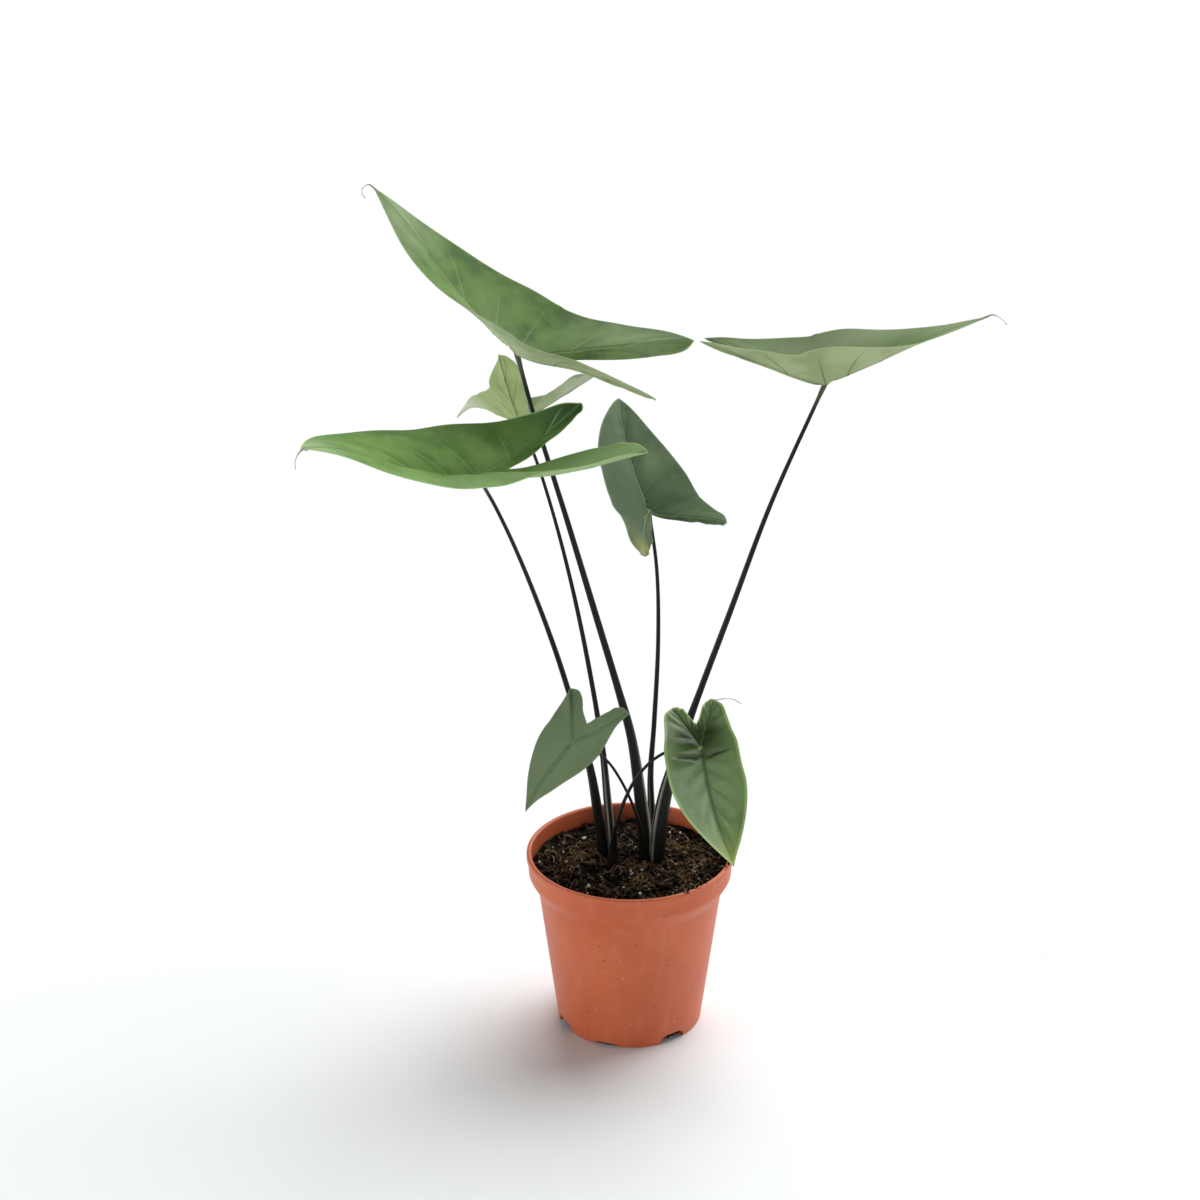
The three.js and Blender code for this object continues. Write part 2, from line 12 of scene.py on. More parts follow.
import bpy
import numpy as np
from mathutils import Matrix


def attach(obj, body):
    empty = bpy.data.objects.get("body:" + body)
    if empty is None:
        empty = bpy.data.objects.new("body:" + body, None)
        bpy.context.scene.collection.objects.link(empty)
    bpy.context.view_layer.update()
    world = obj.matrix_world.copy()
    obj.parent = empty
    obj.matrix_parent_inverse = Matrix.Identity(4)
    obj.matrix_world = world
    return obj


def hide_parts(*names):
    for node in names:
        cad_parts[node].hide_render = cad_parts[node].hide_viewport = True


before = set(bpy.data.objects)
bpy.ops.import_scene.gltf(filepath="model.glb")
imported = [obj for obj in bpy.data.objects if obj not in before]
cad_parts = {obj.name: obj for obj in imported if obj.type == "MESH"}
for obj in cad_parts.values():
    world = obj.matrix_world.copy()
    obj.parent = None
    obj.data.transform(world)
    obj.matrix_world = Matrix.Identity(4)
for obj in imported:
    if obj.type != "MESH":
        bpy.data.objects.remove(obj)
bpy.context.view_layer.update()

LOG = logging.getLogger("plant")
Point = tuple[float, float, float]
Colour = tuple[float, float, float, float]
Socket = bpy.types.NodeSocket

METRES_PER_MM = 0.001
BODY = "root"
JOINT_AT = 5 / 9  # where a blade's rib rail passes the joint with the stalk, as a share of its spans


def srgb(red: int, green: int, blue: int) -> Colour:
    """Turns a screen colour of three bytes into a linear one: ((c + 0.055) / 1.055) to the power 2.4."""
    shares = np.array([red, green, blue]) / 255
    linear = np.where(shares <= 0.04045, shares / 12.92, ((shares + 0.055) / 1.055) ** 2.4)
    return (*(float(value) for value in linear), 1.0)


def ease(value: np.ndarray, low: float, high: float) -> np.ndarray:
    """A smooth step: 0 below low, 1 above high, and 3 s squared - 2 s cubed between them."""
    share = np.clip((value - low) / (high - low), 0, 1)
    return share * share * (3 - 2 * share)


def blend(first: np.ndarray, second: np.ndarray, share: np.ndarray) -> np.ndarray:
    """The straight mix first + (second - first) * share."""
    return first + (second - first) * share


def unit(vectors: np.ndarray) -> np.ndarray:
    """Each row divided by its length."""
    return vectors / np.maximum(np.linalg.norm(vectors, axis=-1, keepdims=True), 1e-9)


class Relief:
    """Smooth random relief over a plane: lattice values, mixed between lattice points by a smooth step."""

    SIDE = 64

    def __init__(self, seed: int) -> None:
        """Draws the lattice of values from -1 to 1."""
        self.lattice = np.random.default_rng(seed).uniform(-1, 1, (self.SIDE, self.SIDE))

    def layer(self, x: np.ndarray, y: np.ndarray, scale: float) -> np.ndarray:
        """One layer whose lumps are about scale across.

        Args:
            x, y: where the relief is wanted.
            scale: the lattice spacing, in the units of x and y.

        Returns:
            Values from -1 to 1, of the shape of x.
        """
        across, along = x / scale, y / scale
        i, j = np.floor(across).astype(int), np.floor(along).astype(int)
        u, v = ease(across - i, 0, 1), ease(along - j, 0, 1)

        def value(a: int, b: int) -> np.ndarray:
            """The lattice's value, a and b steps on from each place."""
            return self.lattice[(i + a) % self.SIDE, (j + b) % self.SIDE]

        return blend(blend(value(0, 0), value(1, 0), u), blend(value(0, 1), value(1, 1), u), v)

    def layers(self, x: np.ndarray, y: np.ndarray, heights: dict[float, float]) -> np.ndarray:
        """The sum of several layers, each shifted so that their lattices don't line up.

        Args:
            x, y: where the relief is wanted.
            heights: the height of each layer by its scale.

        Returns:
            The relief, of the shape of x.
        """
        return sum(height * self.layer(x + 7.3 * k, y - 4.1 * k, scale)
                   for k, (scale, height) in enumerate(heights.items()))


@dataclass
class Shell:
    """A surface of corners and faces in millimetres, with named values at its corners."""

    points: np.ndarray
    faces: list[np.ndarray]
    marks: dict[str, np.ndarray] = field(default_factory=dict)

    def corner_normals(self) -> np.ndarray:
        """The direction out of the surface at each corner: the sum of the normals of the faces round it."""
        normals = np.zeros_like(self.points)
        for faces in self.faces:
            a, b, c = (self.points[faces[:, k]] for k in (0, 1, -1))
            across = np.cross(b - a, c - a)
            for k in range(faces.shape[1]):
                np.add.at(normals, faces[:, k], across)
        return unit(normals)

    def piece(self, name: str, slot: str, material: bpy.types.Material,
              nodes: tuple[str, ...] = ()) -> bpy.types.Object:
        """Makes the shell an object of the plant, at its place in the frame.

        Args:
            name: the piece's name.
            slot: the record's material slot; not used.
            material: its finish.
            nodes: the solids that it stands for.

        Returns:
            The finished object.
        """
        mesh = bpy.data.meshes.new(name)
        faces = [face for faces in self.faces for face in faces.tolist()]
        mesh.from_pydata((self.points * METRES_PER_MM).tolist(), [], faces)
        mesh.polygons.foreach_set("use_smooth", np.ones(len(faces), bool))
        for mark, values in self.marks.items():
            attribute = mesh.attributes.new(mark, "FLOAT", "POINT")
            attribute.data.foreach_set("value", values.astype(np.float32).ravel())
        mesh.materials.append(material)
        mesh.update()
        made = bpy.data.objects.new(name, mesh)
        bpy.context.scene.collection.objects.link(made)
        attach(made, BODY)
        if nodes:
            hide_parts(*nodes)
        LOG.info("%s: %d corners, %d faces", name, len(mesh.vertices), len(mesh.polygons))
        return made


def join(shells: list[Shell]) -> Shell:
    """Puts several shells into one, side by side.

    Args:
        shells: the shells, which all carry the same marks.

    Returns:
        One shell with all their corners and faces.
    """
    starts = np.cumsum([0] + [len(shell.points) for shell in shells])
    faces = [block + start for shell, start in zip(shells, starts) for block in shell.faces]
    marks = {name: np.concatenate([shell.marks[name] for shell in shells]) for name in shells[0].marks}
    return Shell(np.concatenate([shell.points for shell in shells]), faces, marks)


def grid_faces(rows: int, columns: int, round_columns: bool = False) -> np.ndarray:
    """The four-sided faces between the corners of a grid, numbered row by row.

    Args:
        rows, columns: how many corners the grid has each way.
        round_columns: whether the last column joins the first.

    Returns:
        One line of four corner numbers per face.
    """
    across = columns if round_columns else columns - 1
    i, j = np.meshgrid(np.arange(rows - 1), np.arange(across), indexing="ij")
    following = (j + 1) % columns
    corners = (i * columns + j, i * columns + following, (i + 1) * columns + following, (i + 1) * columns + j)
    return np.stack([corner.ravel() for corner in corners], axis=1)


def round_grid(radius: np.ndarray, level: np.ndarray, sides: int) -> np.ndarray:
    """Level rings about the upright axis: corners at (r cos a, r sin a, z) for equal steps of a.

    Args:
        radius, level: the radius and the height of each ring, each a column.
        sides: how many corners a ring has.

    Returns:
        The corners, rings by sides by 3.
    """
    turn = np.linspace(0, 2 * np.pi, sides, endpoint=False)[None]
    return np.stack([radius * np.cos(turn), radius * np.sin(turn), level + 0 * turn], axis=-1)


def closed_rings(rings: np.ndarray, start: np.ndarray, end: np.ndarray, turned: bool = False) -> Shell:
    """Joins rings of corners into a closed surface, with one more corner in the middle of each end.

    Args:
        rings: the corners, rings by sides by 3.
        start, end: the middles of the two ends.
        turned: whether every face is turned round.

    Returns:
        The surface, whose corners are numbered ring by ring, with the two middles last.
    """
    steps, sides = rings.shape[:2]
    count, last = steps * sides, (steps - 1) * sides
    k = np.arange(sides)
    following = (k + 1) % sides
    first_cap = np.stack([np.full(sides, count), following, k], axis=1)
    last_cap = np.stack([np.full(sides, count + 1), last + k, last + following], axis=1)
    faces = [grid_faces(steps, sides, round_columns=True), first_cap, last_cap]
    if turned:
        faces = [block[:, ::-1] for block in faces]
    return Shell(np.concatenate([rings.reshape(-1, 3), start[None], end[None]]), faces)


def tube(centres: np.ndarray, sections: np.ndarray, upward: np.ndarray) -> Shell:
    """A closed tube: the section's offsets are carried along the centre line and both ends are capped.

    A section point (a, b) lies at centre + a * upward' + b * side, where upward' is upward made square to
    the line and side completes the frame.

    Args:
        centres: the points of the centre line, n by 3.
        sections: the offsets at each of them, n by sides by 2, counter-clockwise.
        upward: the direction, at each of them, that the section's first axis keeps to.

    Returns:
        The tube, whose corners are numbered ring by ring, with the two end points last.
    """
    tangents = unit(np.gradient(centres, axis=0))
    first = unit(upward - tangents * np.sum(upward * tangents, axis=1, keepdims=True))
    second = np.cross(tangents, first)
    rings = centres[:, None] + sections[..., :1] * first[:, None] + sections[..., 1:] * second[:, None]
    return closed_rings(rings, centres[0], centres[-1])


def smooth_route(points: np.ndarray, steps: int) -> np.ndarray:
    """A centripetal Catmull-Rom curve through the points, in steps of equal length.

    Between points 1 and 2 the curve is the cubic with the tangents
    d12 * ((p1 - p0) / d01 - (p2 - p0) / (d01 + d12) + (p2 - p1) / d12) and its mirror image, where dij is the
    square root of the distance from point i to point j.

    Args:
        points: the points that the curve passes, n by 3.
        steps: how many steps the result has.

    Returns:
        steps + 1 points along the curve.
    """
    ends = (2 * points[0] - points[1], 2 * points[-1] - points[-2])
    run = np.concatenate([ends[:1], points, ends[1:]])
    gaps = np.sqrt(np.linalg.norm(np.diff(run, axis=0), axis=1))[:, None]
    p0, p1, p2, p3 = run[:-3], run[1:-2], run[2:-1], run[3:]
    d01, d12, d23 = gaps[:-2], gaps[1:-1], gaps[2:]
    leaving = d12 * ((p1 - p0) / d01 - (p2 - p0) / (d01 + d12) + (p2 - p1) / d12)
    arriving = d12 * ((p2 - p1) / d12 - (p3 - p1) / (d12 + d23) + (p3 - p2) / d23)
    s = np.linspace(0, 1, 40, endpoint=False)[None, :, None]
    p1, p2, leaving, arriving = (part[:, None] for part in (p1, p2, leaving, arriving))
    fine = (p1 + leaving * s + (3 * (p2 - p1) - 2 * leaving - arriving) * s ** 2
            + (2 * (p1 - p2) + leaving + arriving) * s ** 3).reshape(-1, 3)
    fine = np.concatenate([fine, points[-1:]])
    travelled = np.concatenate([[0], np.cumsum(np.linalg.norm(np.diff(fine, axis=0), axis=1))])
    wanted = np.linspace(0, travelled[-1], steps + 1)
    return np.stack([np.interp(wanted, travelled, fine[:, k]) for k in range(3)], axis=1)


def rail(points: list[np.ndarray], t: np.ndarray) -> np.ndarray:
    """A uniform Catmull-Rom curve in the plane, whose end tangents come from the end points doubled.

    Args:
        points: the points that it passes.
        t: places along it from 0 to 1.

    Returns:
        The points at those places.
    """
    run = np.array(points)
    last = len(run) - 1
    place = t * last
    i = np.minimum(np.floor(place).astype(int), last - 1)
    s = (place - i)[:, None]
    p0, p1, p2, p3 = (run[np.clip(i + k, 0, last)] for k in (-1, 0, 1, 2))
    leaving, arriving = (p2 - p0) / 2, (p3 - p1) / 2
    return (p1 + leaving * s + (3 * (p2 - p1) - 2 * leaving - arriving) * s ** 2
            + (2 * (p1 - p2) + leaving + arriving) * s ** 3)


class Wiring:
    """Adds nodes to one node tree and joins them by their sockets."""

    def __init__(self, tree: bpy.types.NodeTree) -> None:
        """Keeps the tree that the nodes go into."""
        self.tree = tree

    def add(self, kind: str, inputs: dict[str | int, object] | None = None,
            **settings: object) -> bpy.types.Node:
        """Adds a node.

        Args:
            kind: the node's type, without its leading ShaderNode.
            inputs: a socket to join or a value to set, by the input's name or number.
            settings: the node's own settings.

        Returns:
            The node.
        """
        node = self.tree.nodes.new("ShaderNode" + kind)
        for name, value in settings.items():
            setattr(node, name, value)
        for key, value in (inputs or {}).items():
            self.feed(node.inputs[key], value)
        return node

    def feed(self, target: Socket, value: object) -> None:
        """Joins a socket to the target, or sets the target's own value."""
        if isinstance(value, Socket):
            self.tree.links.new(value, target)
        else:
            target.default_value = value

    def group(self, group: bpy.types.NodeTree, inputs: dict[str, object]) -> dict[str, Socket]:
        """Places a node group.

        Args:
            group: the group.
            inputs: a socket or a value for each of its inputs that isn't left as it is.

        Returns:
            The group's outputs by name.
        """
        node = self.tree.nodes.new("ShaderNodeGroup")
        node.node_tree = group
        for key, value in inputs.items():
            self.feed(node.inputs[key], value)
        return {output.name: output for output in node.outputs}

    def mark(self, name: str) -> Socket:
        """Reads a value that the mesh carries at its corners."""
        return self.add("Attribute", attribute_name=name).outputs["Fac"]

    def math(self, operation: str, *values: object) -> Socket:
        """One sum, product or other operation on numbers."""
        return self.add("Math", dict(enumerate(values)), operation=operation).outputs[0]

    def step(self, value: object, low: object, high: object,
             start: object = 0.0, end: object = 1.0) -> Socket:
        """Turns low to high into start to end, by a smooth step."""
        ends = {"Value": value, "From Min": low, "From Max": high, "To Min": start, "To Max": end}
        return self.add("MapRange", ends, interpolation_type="SMOOTHSTEP").outputs["Result"]

    def surface(self, shader: bpy.types.Node, roughness: Socket, gloss: float, height: Socket,
                bump: float, depth: float = 0.0002) -> None:
        """Sets the shader's roughness and gloss, and raises the surface by the height.

        Args:
            shader: the surface shader.
            roughness: its roughness.
            gloss: how strongly it mirrors.
            height: the fine relief.
            bump: how strongly the relief shows.
            depth: how high it is, in metres.
        """
        self.feed(shader.inputs["Roughness"], roughness)
        self.feed(shader.inputs["Specular IOR Level"], gloss)
        relief = self.add("Bump", {"Strength": bump, "Distance": depth, "Height": height})
        self.feed(shader.inputs["Normal"], relief.outputs["Normal"])

    def mix(self, share: object, first: object, second: object) -> Socket:
        """A mix of two colours."""
        node = self.add("Mix", data_type="RGBA")
        for key, value in (("Factor", share), ("A", first), ("B", second)):
            sockets = [s for s in node.inputs if s.name == key and s.enabled]
            self.feed(sockets[0], value)
        return next(s for s in node.outputs if s.enabled)


def new_group(name: str, inputs: dict[str, float | Point], outputs: list[str]
              ) -> tuple[Wiring, dict[str, Socket], bpy.types.Node]:
    """Starts a node group whose outputs are all masks or heights.

    Args:
        name: the group's name.
        inputs: each input's value when nothing is joined to it: one number, or three for a vector.
        outputs: the names of the outputs.

    Returns:
        The wiring of the group, its inputs as sockets by name, and the node that its outputs go to.
    """
    tree = bpy.data.node_groups.new(name, "ShaderNodeTree")
    for key, value in inputs.items():
        kind = "NodeSocketVector" if isinstance(value, tuple) else "NodeSocketFloat"
        tree.interface.new_socket(name=key, in_out="INPUT", socket_type=kind).default_value = value
    for key in outputs:
        tree.interface.new_socket(name=key, in_out="OUTPUT", socket_type="NodeSocketFloat")
    start = tree.nodes.new("NodeGroupInput")
    end = tree.nodes.new("NodeGroupOutput")
    return Wiring(tree), {socket.name: socket for socket in start.outputs}, end


class Effects:
    """The node groups that several finishes share, each built once."""

    def __init__(self) -> None:
        """Builds every group."""
        self.patches = self.build_patches()
        self.line = self.build_line()
        self.grain = self.build_grain()
        self.specks = self.build_specks()

    @staticmethod
    def build_patches() -> bpy.types.NodeTree:
        """Soft-edged clouds: noise, cut between the two levels Low and High."""
        inputs = {"Vector": (0.0, 0.0, 0.0), "Scale": 50.0, "Low": 0.4, "High": 0.6}
        wiring, given, end = new_group("soft_patches", inputs, ["Mask"])
        noise = wiring.add("TexNoise", {"Vector": given["Vector"], "Scale": given["Scale"], "Detail": 3.0})
        wiring.feed(end.inputs["Mask"], wiring.step(noise.outputs["Fac"], given["Low"], given["High"]))
        return wiring.tree

    @staticmethod
    def build_line() -> bpy.types.NodeTree:
        """A fine line where Distance is under Width, faded out over the next Softness."""
        inputs = {"Distance": 1.0, "Width": 0.3, "Softness": 0.3}
        wiring, given, end = new_group("fine_line", inputs, ["Mask"])
        outside = wiring.math("ADD", given["Width"], given["Softness"])
        wiring.feed(end.inputs["Mask"], wiring.step(given["Distance"], given["Width"], outside, 1.0, 0.0))
        return wiring.tree

    @staticmethod
    def build_grain() -> bpy.types.NodeTree:
        """Fine grain for a surface's roughness and height: noise at Scale and at five times Scale."""
        inputs = {"Vector": (0.0, 0.0, 0.0), "Scale": 600.0}
        wiring, given, end = new_group("fine_grain", inputs, ["Height"])
        finer = wiring.math("MULTIPLY", given["Scale"], 5.0)
        coarse = wiring.add("TexNoise", {"Vector": given["Vector"], "Scale": given["Scale"], "Detail": 2.0})
        fine = wiring.add("TexNoise", {"Vector": given["Vector"], "Scale": finer, "Detail": 1.0})
        half = wiring.math("MULTIPLY", fine.outputs["Fac"], 0.4)
        total = wiring.math("MULTIPLY_ADD", coarse.outputs["Fac"], 0.6, half)
        wiring.feed(end.inputs["Height"], total)
        return wiring.tree

    @staticmethod
    def build_specks() -> bpy.types.NodeTree:
        """Scattered specks: the cells' middles, kept in the share of cells that Amount gives."""
        inputs = {"Vector": (0.0, 0.0, 0.0), "Scale": 100.0, "Size": 0.1, "Amount": 0.2}
        wiring, given, end = new_group("scattered_specks", inputs, ["Mask"])
        cells = wiring.add("TexVoronoi", {"Vector": given["Vector"], "Scale": given["Scale"]})
        half = wiring.math("MULTIPLY", given["Size"], 0.5)
        spot = wiring.step(cells.outputs["Distance"], half, given["Size"], 1.0, 0.0)
        draw = wiring.add("SeparateColor", {"Color": cells.outputs["Color"]})
        kept = wiring.math("LESS_THAN", draw.outputs["Red"], given["Amount"])
        wiring.feed(end.inputs["Mask"], wiring.math("MULTIPLY", spot, kept))
        return wiring.tree


def new_material(name: str) -> tuple[bpy.types.Material, Wiring, bpy.types.Node, Socket]:
    """Starts a finish.

    Args:
        name: the finish's name.

    Returns:
        The material, its wiring, its surface shader, and the place on the piece as a socket.
    """
    material = bpy.data.materials.new(name)
    material.use_nodes = True
    material.node_tree.nodes.clear()
    wiring = Wiring(material.node_tree)
    shader = wiring.add("BsdfPrincipled")
    wiring.add("OutputMaterial", {"Surface": shader.outputs["BSDF"]})
    place = wiring.add("TexCoord").outputs["Object"]
    return material, wiring, shader, place


@dataclass(frozen=True)
class LeafFinish:
    """The colours and gloss of a living blade, above and below. The shaded colour is painted shade and the
    pale grey patch colour is painted sheen; light is both the lighter flecks and a painted highlight on the
    bulges between the veins.
    """

    name: str
    deep: Colour
    fresh: Colour
    light: Colour
    under_deep: Colour
    under_light: Colour
    line_above: Colour
    line_below: Colour
    margin: Colour
    shaded: Colour
    hazy: Colour
    yellowed: Colour = srgb(158, 160, 92)
    vein_strength: float = 0.4
    gloss: float = 0.22
    roughness: float = 0.5

    def material(self, effects: Effects) -> bpy.types.Material:
        """Builds the finish from the clouds, the veins and the margin that the blade's mesh marks, with
        painted shade beside the rib and in the shade patches, painted sheen in the sheen patches and a
        painted highlight on the bulges between the veins.

        Args:
            effects: the shared node groups.

        Returns:
            The material.
        """
        material, wiring, shader, place = new_material(self.name)
        under = wiring.mark("under")
        clouds = {"Vector": place, "Scale": 42.0, "Low": 0.4, "High": 0.62}
        broad = wiring.group(effects.patches, clouds)["Mask"]
        flecks = {"Vector": place, "Scale": 150.0, "Low": 0.45, "High": 0.75}
        small = wiring.group(effects.patches, flecks)["Mask"]
        grain = wiring.group(effects.grain, {"Vector": place, "Scale": 900.0})["Height"]

        swing = wiring.math("PINGPONG", wiring.mark("vein_phase"), 0.5)
        gap = wiring.math("MULTIPLY", swing, wiring.mark("vein_step"))
        show = wiring.mark("vein_show")
        line = {"Distance": gap, "Width": 0.16, "Softness": 0.5}
        vein = wiring.math("MULTIPLY", wiring.group(effects.line, line)["Mask"], show)
        # the bulges between the veins, which are lightened below as a painted highlight
        between = wiring.math("MULTIPLY", wiring.step(swing, 0.1, 0.4), show)

        rib_gap, rib_width = wiring.mark("rib_gap"), wiring.mark("rib_width")
        line = {"Distance": rib_gap, "Width": rib_width, "Softness": 0.45}
        rib = wiring.group(effects.line, line)["Mask"]
        # a soft band beside the rib, darkened below as painted shade in the rib's groove
        beside = wiring.group(effects.line, {"Distance": rib_gap, "Width": 0.7, "Softness": 1.6})["Mask"]
        dot = {"Distance": wiring.mark("joint_gap"), "Width": 0.6, "Softness": 1.4}
        dot = wiring.group(effects.line, dot)["Mask"]

        upper = wiring.mix(broad, self.deep, self.fresh)
        # painted highlight on the quilted bulges between the veins
        upper = wiring.mix(wiring.math("MULTIPLY", between, 0.3), upper, self.light)
        upper = wiring.mix(wiring.math("MULTIPLY", small, 0.4), upper, self.light)
        # painted shade in the shade patches, painted sheen in the sheen patches, and painted shade beside the
        # rib
        upper = wiring.mix(wiring.mark(Tone.DEEP.value), upper, self.shaded)
        upper = wiring.mix(wiring.mark(Tone.HAZY.value), upper, self.hazy)
        upper = wiring.mix(wiring.math("MULTIPLY", beside, 0.4), upper, self.shaded)
        upper = wiring.mix(wiring.math("MULTIPLY", vein, self.vein_strength), upper, self.line_above)
        upper = wiring.mix(wiring.math("MULTIPLY", rib, 0.5), upper, self.line_above)
        upper = wiring.mix(wiring.math("MULTIPLY", dot, 0.6), upper, self.margin)

        lower = wiring.mix(broad, self.under_deep, self.under_light)
        # painted sheen on the underside as well
        lower = wiring.mix(wiring.mark(Tone.HAZY.value), lower, self.hazy)
        lower = wiring.mix(wiring.math("MULTIPLY", vein, 0.7), lower, self.line_below)
        lower = wiring.mix(wiring.math("MULTIPLY", rib, 0.55), lower, self.line_below)

        colour = wiring.mix(under, upper, lower)
        colour = wiring.mix(wiring.mark(Tone.YELLOW.value), colour, self.yellowed)
        edge = {"Distance": wiring.mark("margin_line"), "Width": 0.8, "Softness": 1.6}
        pale = wiring.math("MULTIPLY", wiring.group(effects.line, edge)["Mask"], 0.7)
        colour = wiring.mix(pale, colour, self.margin)
        wiring.feed(shader.inputs["Base Color"], colour)

        dull = wiring.math("MULTIPLY_ADD", under, 0.16, self.roughness - 0.06)
        rough = wiring.math("MULTIPLY_ADD", grain, 0.16, dull)
        net = wiring.add("TexVoronoi", {"Vector": place, "Scale": 420.0}, feature="DISTANCE_TO_EDGE")
        raised = wiring.math("MULTIPLY_ADD", wiring.step(net.outputs["Distance"], 0.0, 0.12), 0.5, grain)
        wiring.surface(shader, rough, self.gloss, raised, bump=0.35)
        shader.inputs["Subsurface Weight"].default_value = 0.08
        shader.inputs["Subsurface Radius"].default_value = (0.4, 1.0, 0.2)
        shader.inputs["Subsurface Scale"].default_value = 0.001
        return material


@dataclass(frozen=True)
class StalkFinish:
    """The near-black, faintly streaked skin of the stalks, with greyish sheath margins and an olive top."""

    dark: Colour = srgb(9, 9, 7)
    streak: Colour = srgb(32, 31, 27)
    top: Colour = srgb(92, 92, 70)
    margin: Colour = srgb(176, 174, 160)
    roughness: float = 0.42
    gloss: float = 0.2

    def material(self, effects: Effects) -> bpy.types.Material:
        """Builds the finish: streaks along the stalk, lighter sheath margins and the olive top.

        Args:
            effects: the shared node groups.

        Returns:
            The material.
        """
        material, wiring, shader, place = new_material("stalk_skin")
        stretched = wiring.add("Mapping", {"Vector": place, "Scale": (1.0, 1.0, 0.12)}).outputs["Vector"]
        thin = {"Vector": stretched, "Scale": 900.0, "Low": 0.5, "High": 0.8}
        streaks = wiring.group(effects.patches, thin)["Mask"]
        grain = wiring.group(effects.grain, {"Vector": stretched, "Scale": 1500.0})["Height"]
        colour = wiring.mix(wiring.math("MULTIPLY", streaks, 0.6), self.dark, self.streak)
        colour = wiring.mix(wiring.math("MULTIPLY", wiring.mark("ripe"), 0.75), colour, self.top)
        colour = wiring.mix(wiring.math("MULTIPLY", wiring.mark("sheath_margin"), 0.85), colour, self.margin)
        wiring.feed(shader.inputs["Base Color"], colour)
        rough = wiring.math("MULTIPLY_ADD", grain, 0.2, self.roughness - 0.1)
        wiring.surface(shader, rough, self.gloss, grain, bump=0.3)
        return material


@dataclass(frozen=True)
class PlasticFinish:
    """The moulded terracotta-coloured plastic, faintly blotched, with dust and a few crumbs of dirt."""

    plastic: Colour = srgb(194, 100, 64)
    blotch: Colour = srgb(185, 91, 56)
    scuff: Colour = srgb(226, 156, 124)
    dirt: Colour = srgb(92, 44, 28)
    roughness: float = 0.4
    gloss: float = 0.34

    def material(self, effects: Effects) -> bpy.types.Material:
        """Builds the finish: broad blotches, upright flow streaks, pale scuffs and sparse dark specks.

        Args:
            effects: the shared node groups.

        Returns:
            The material.
        """
        material, wiring, shader, place = new_material("terracotta_plastic")
        upright = wiring.add("Mapping", {"Vector": place, "Scale": (1.0, 1.0, 0.15)}).outputs["Vector"]
        clouds = {"Vector": place, "Scale": 22.0, "Low": 0.35, "High": 0.7}
        streaks = {"Vector": upright, "Scale": 160.0, "Low": 0.5, "High": 0.8}
        pale_dots = {"Vector": place, "Scale": 130.0, "Size": 0.1, "Amount": 0.5}
        dark_dots = {"Vector": place, "Scale": 110.0, "Size": 0.085, "Amount": 0.8}
        broad = wiring.group(effects.patches, clouds)["Mask"]
        flow = wiring.group(effects.patches, streaks)["Mask"]
        scuffs = wiring.group(effects.specks, pale_dots)["Mask"]
        dirt = wiring.group(effects.specks, dark_dots)["Mask"]
        grain = wiring.group(effects.grain, {"Vector": place, "Scale": 1200.0})["Height"]
        colour = wiring.mix(broad, self.plastic, self.blotch)
        colour = wiring.mix(wiring.math("MULTIPLY", flow, 0.12), colour, self.scuff)
        colour = wiring.mix(wiring.math("MULTIPLY", scuffs, 0.55), colour, self.scuff)
        colour = wiring.mix(wiring.math("MULTIPLY", dirt, 0.8), colour, self.dirt)
        wiring.feed(shader.inputs["Base Color"], colour)
        rough = wiring.math("MULTIPLY_ADD", grain, 0.18, self.roughness - 0.05)
        rough = wiring.math("MULTIPLY_ADD", flow, 0.08, rough)
        wiring.surface(shader, rough, self.gloss, grain, bump=0.25)
        return material


@dataclass(frozen=True)
class EarthFinish:
    """A dry, dull finish in two tones, for soil, fibres, bark and white grains."""

    name: str
    dark: Colour
    light: Colour
    scale: float
    roughness: float = 0.9
    gloss: float = 0.12
    bump: float = 0.6

    def material(self, effects: Effects) -> bpy.types.Material:
        """Builds the finish: clouds of the lighter tone on the darker one, and a rough grain.

        Args:
            effects: the shared node groups.

        Returns:
            The material.
        """
        material, wiring, shader, place = new_material(self.name)
        clouds = {"Vector": place, "Scale": self.scale, "Low": 0.42, "High": 0.68}
        tone = wiring.group(effects.patches, clouds)["Mask"]
        grain = wiring.group(effects.grain, {"Vector": place, "Scale": 1400.0})["Height"]
        wiring.feed(shader.inputs["Base Color"], wiring.mix(tone, self.dark, self.light))
        rough = wiring.math("MULTIPLY_ADD", grain, 0.1, self.roughness - 0.05)
        wiring.surface(shader, rough, self.gloss, grain, self.bump, depth=0.0004)
        return material


class Leafage(Enum):
    """The looks that a blade can have."""

    FRESH = "fresh"
    BRIGHT = "bright"
    GREY = "grey"
    PALE = "pale"
    PUCKERED = "puckered"


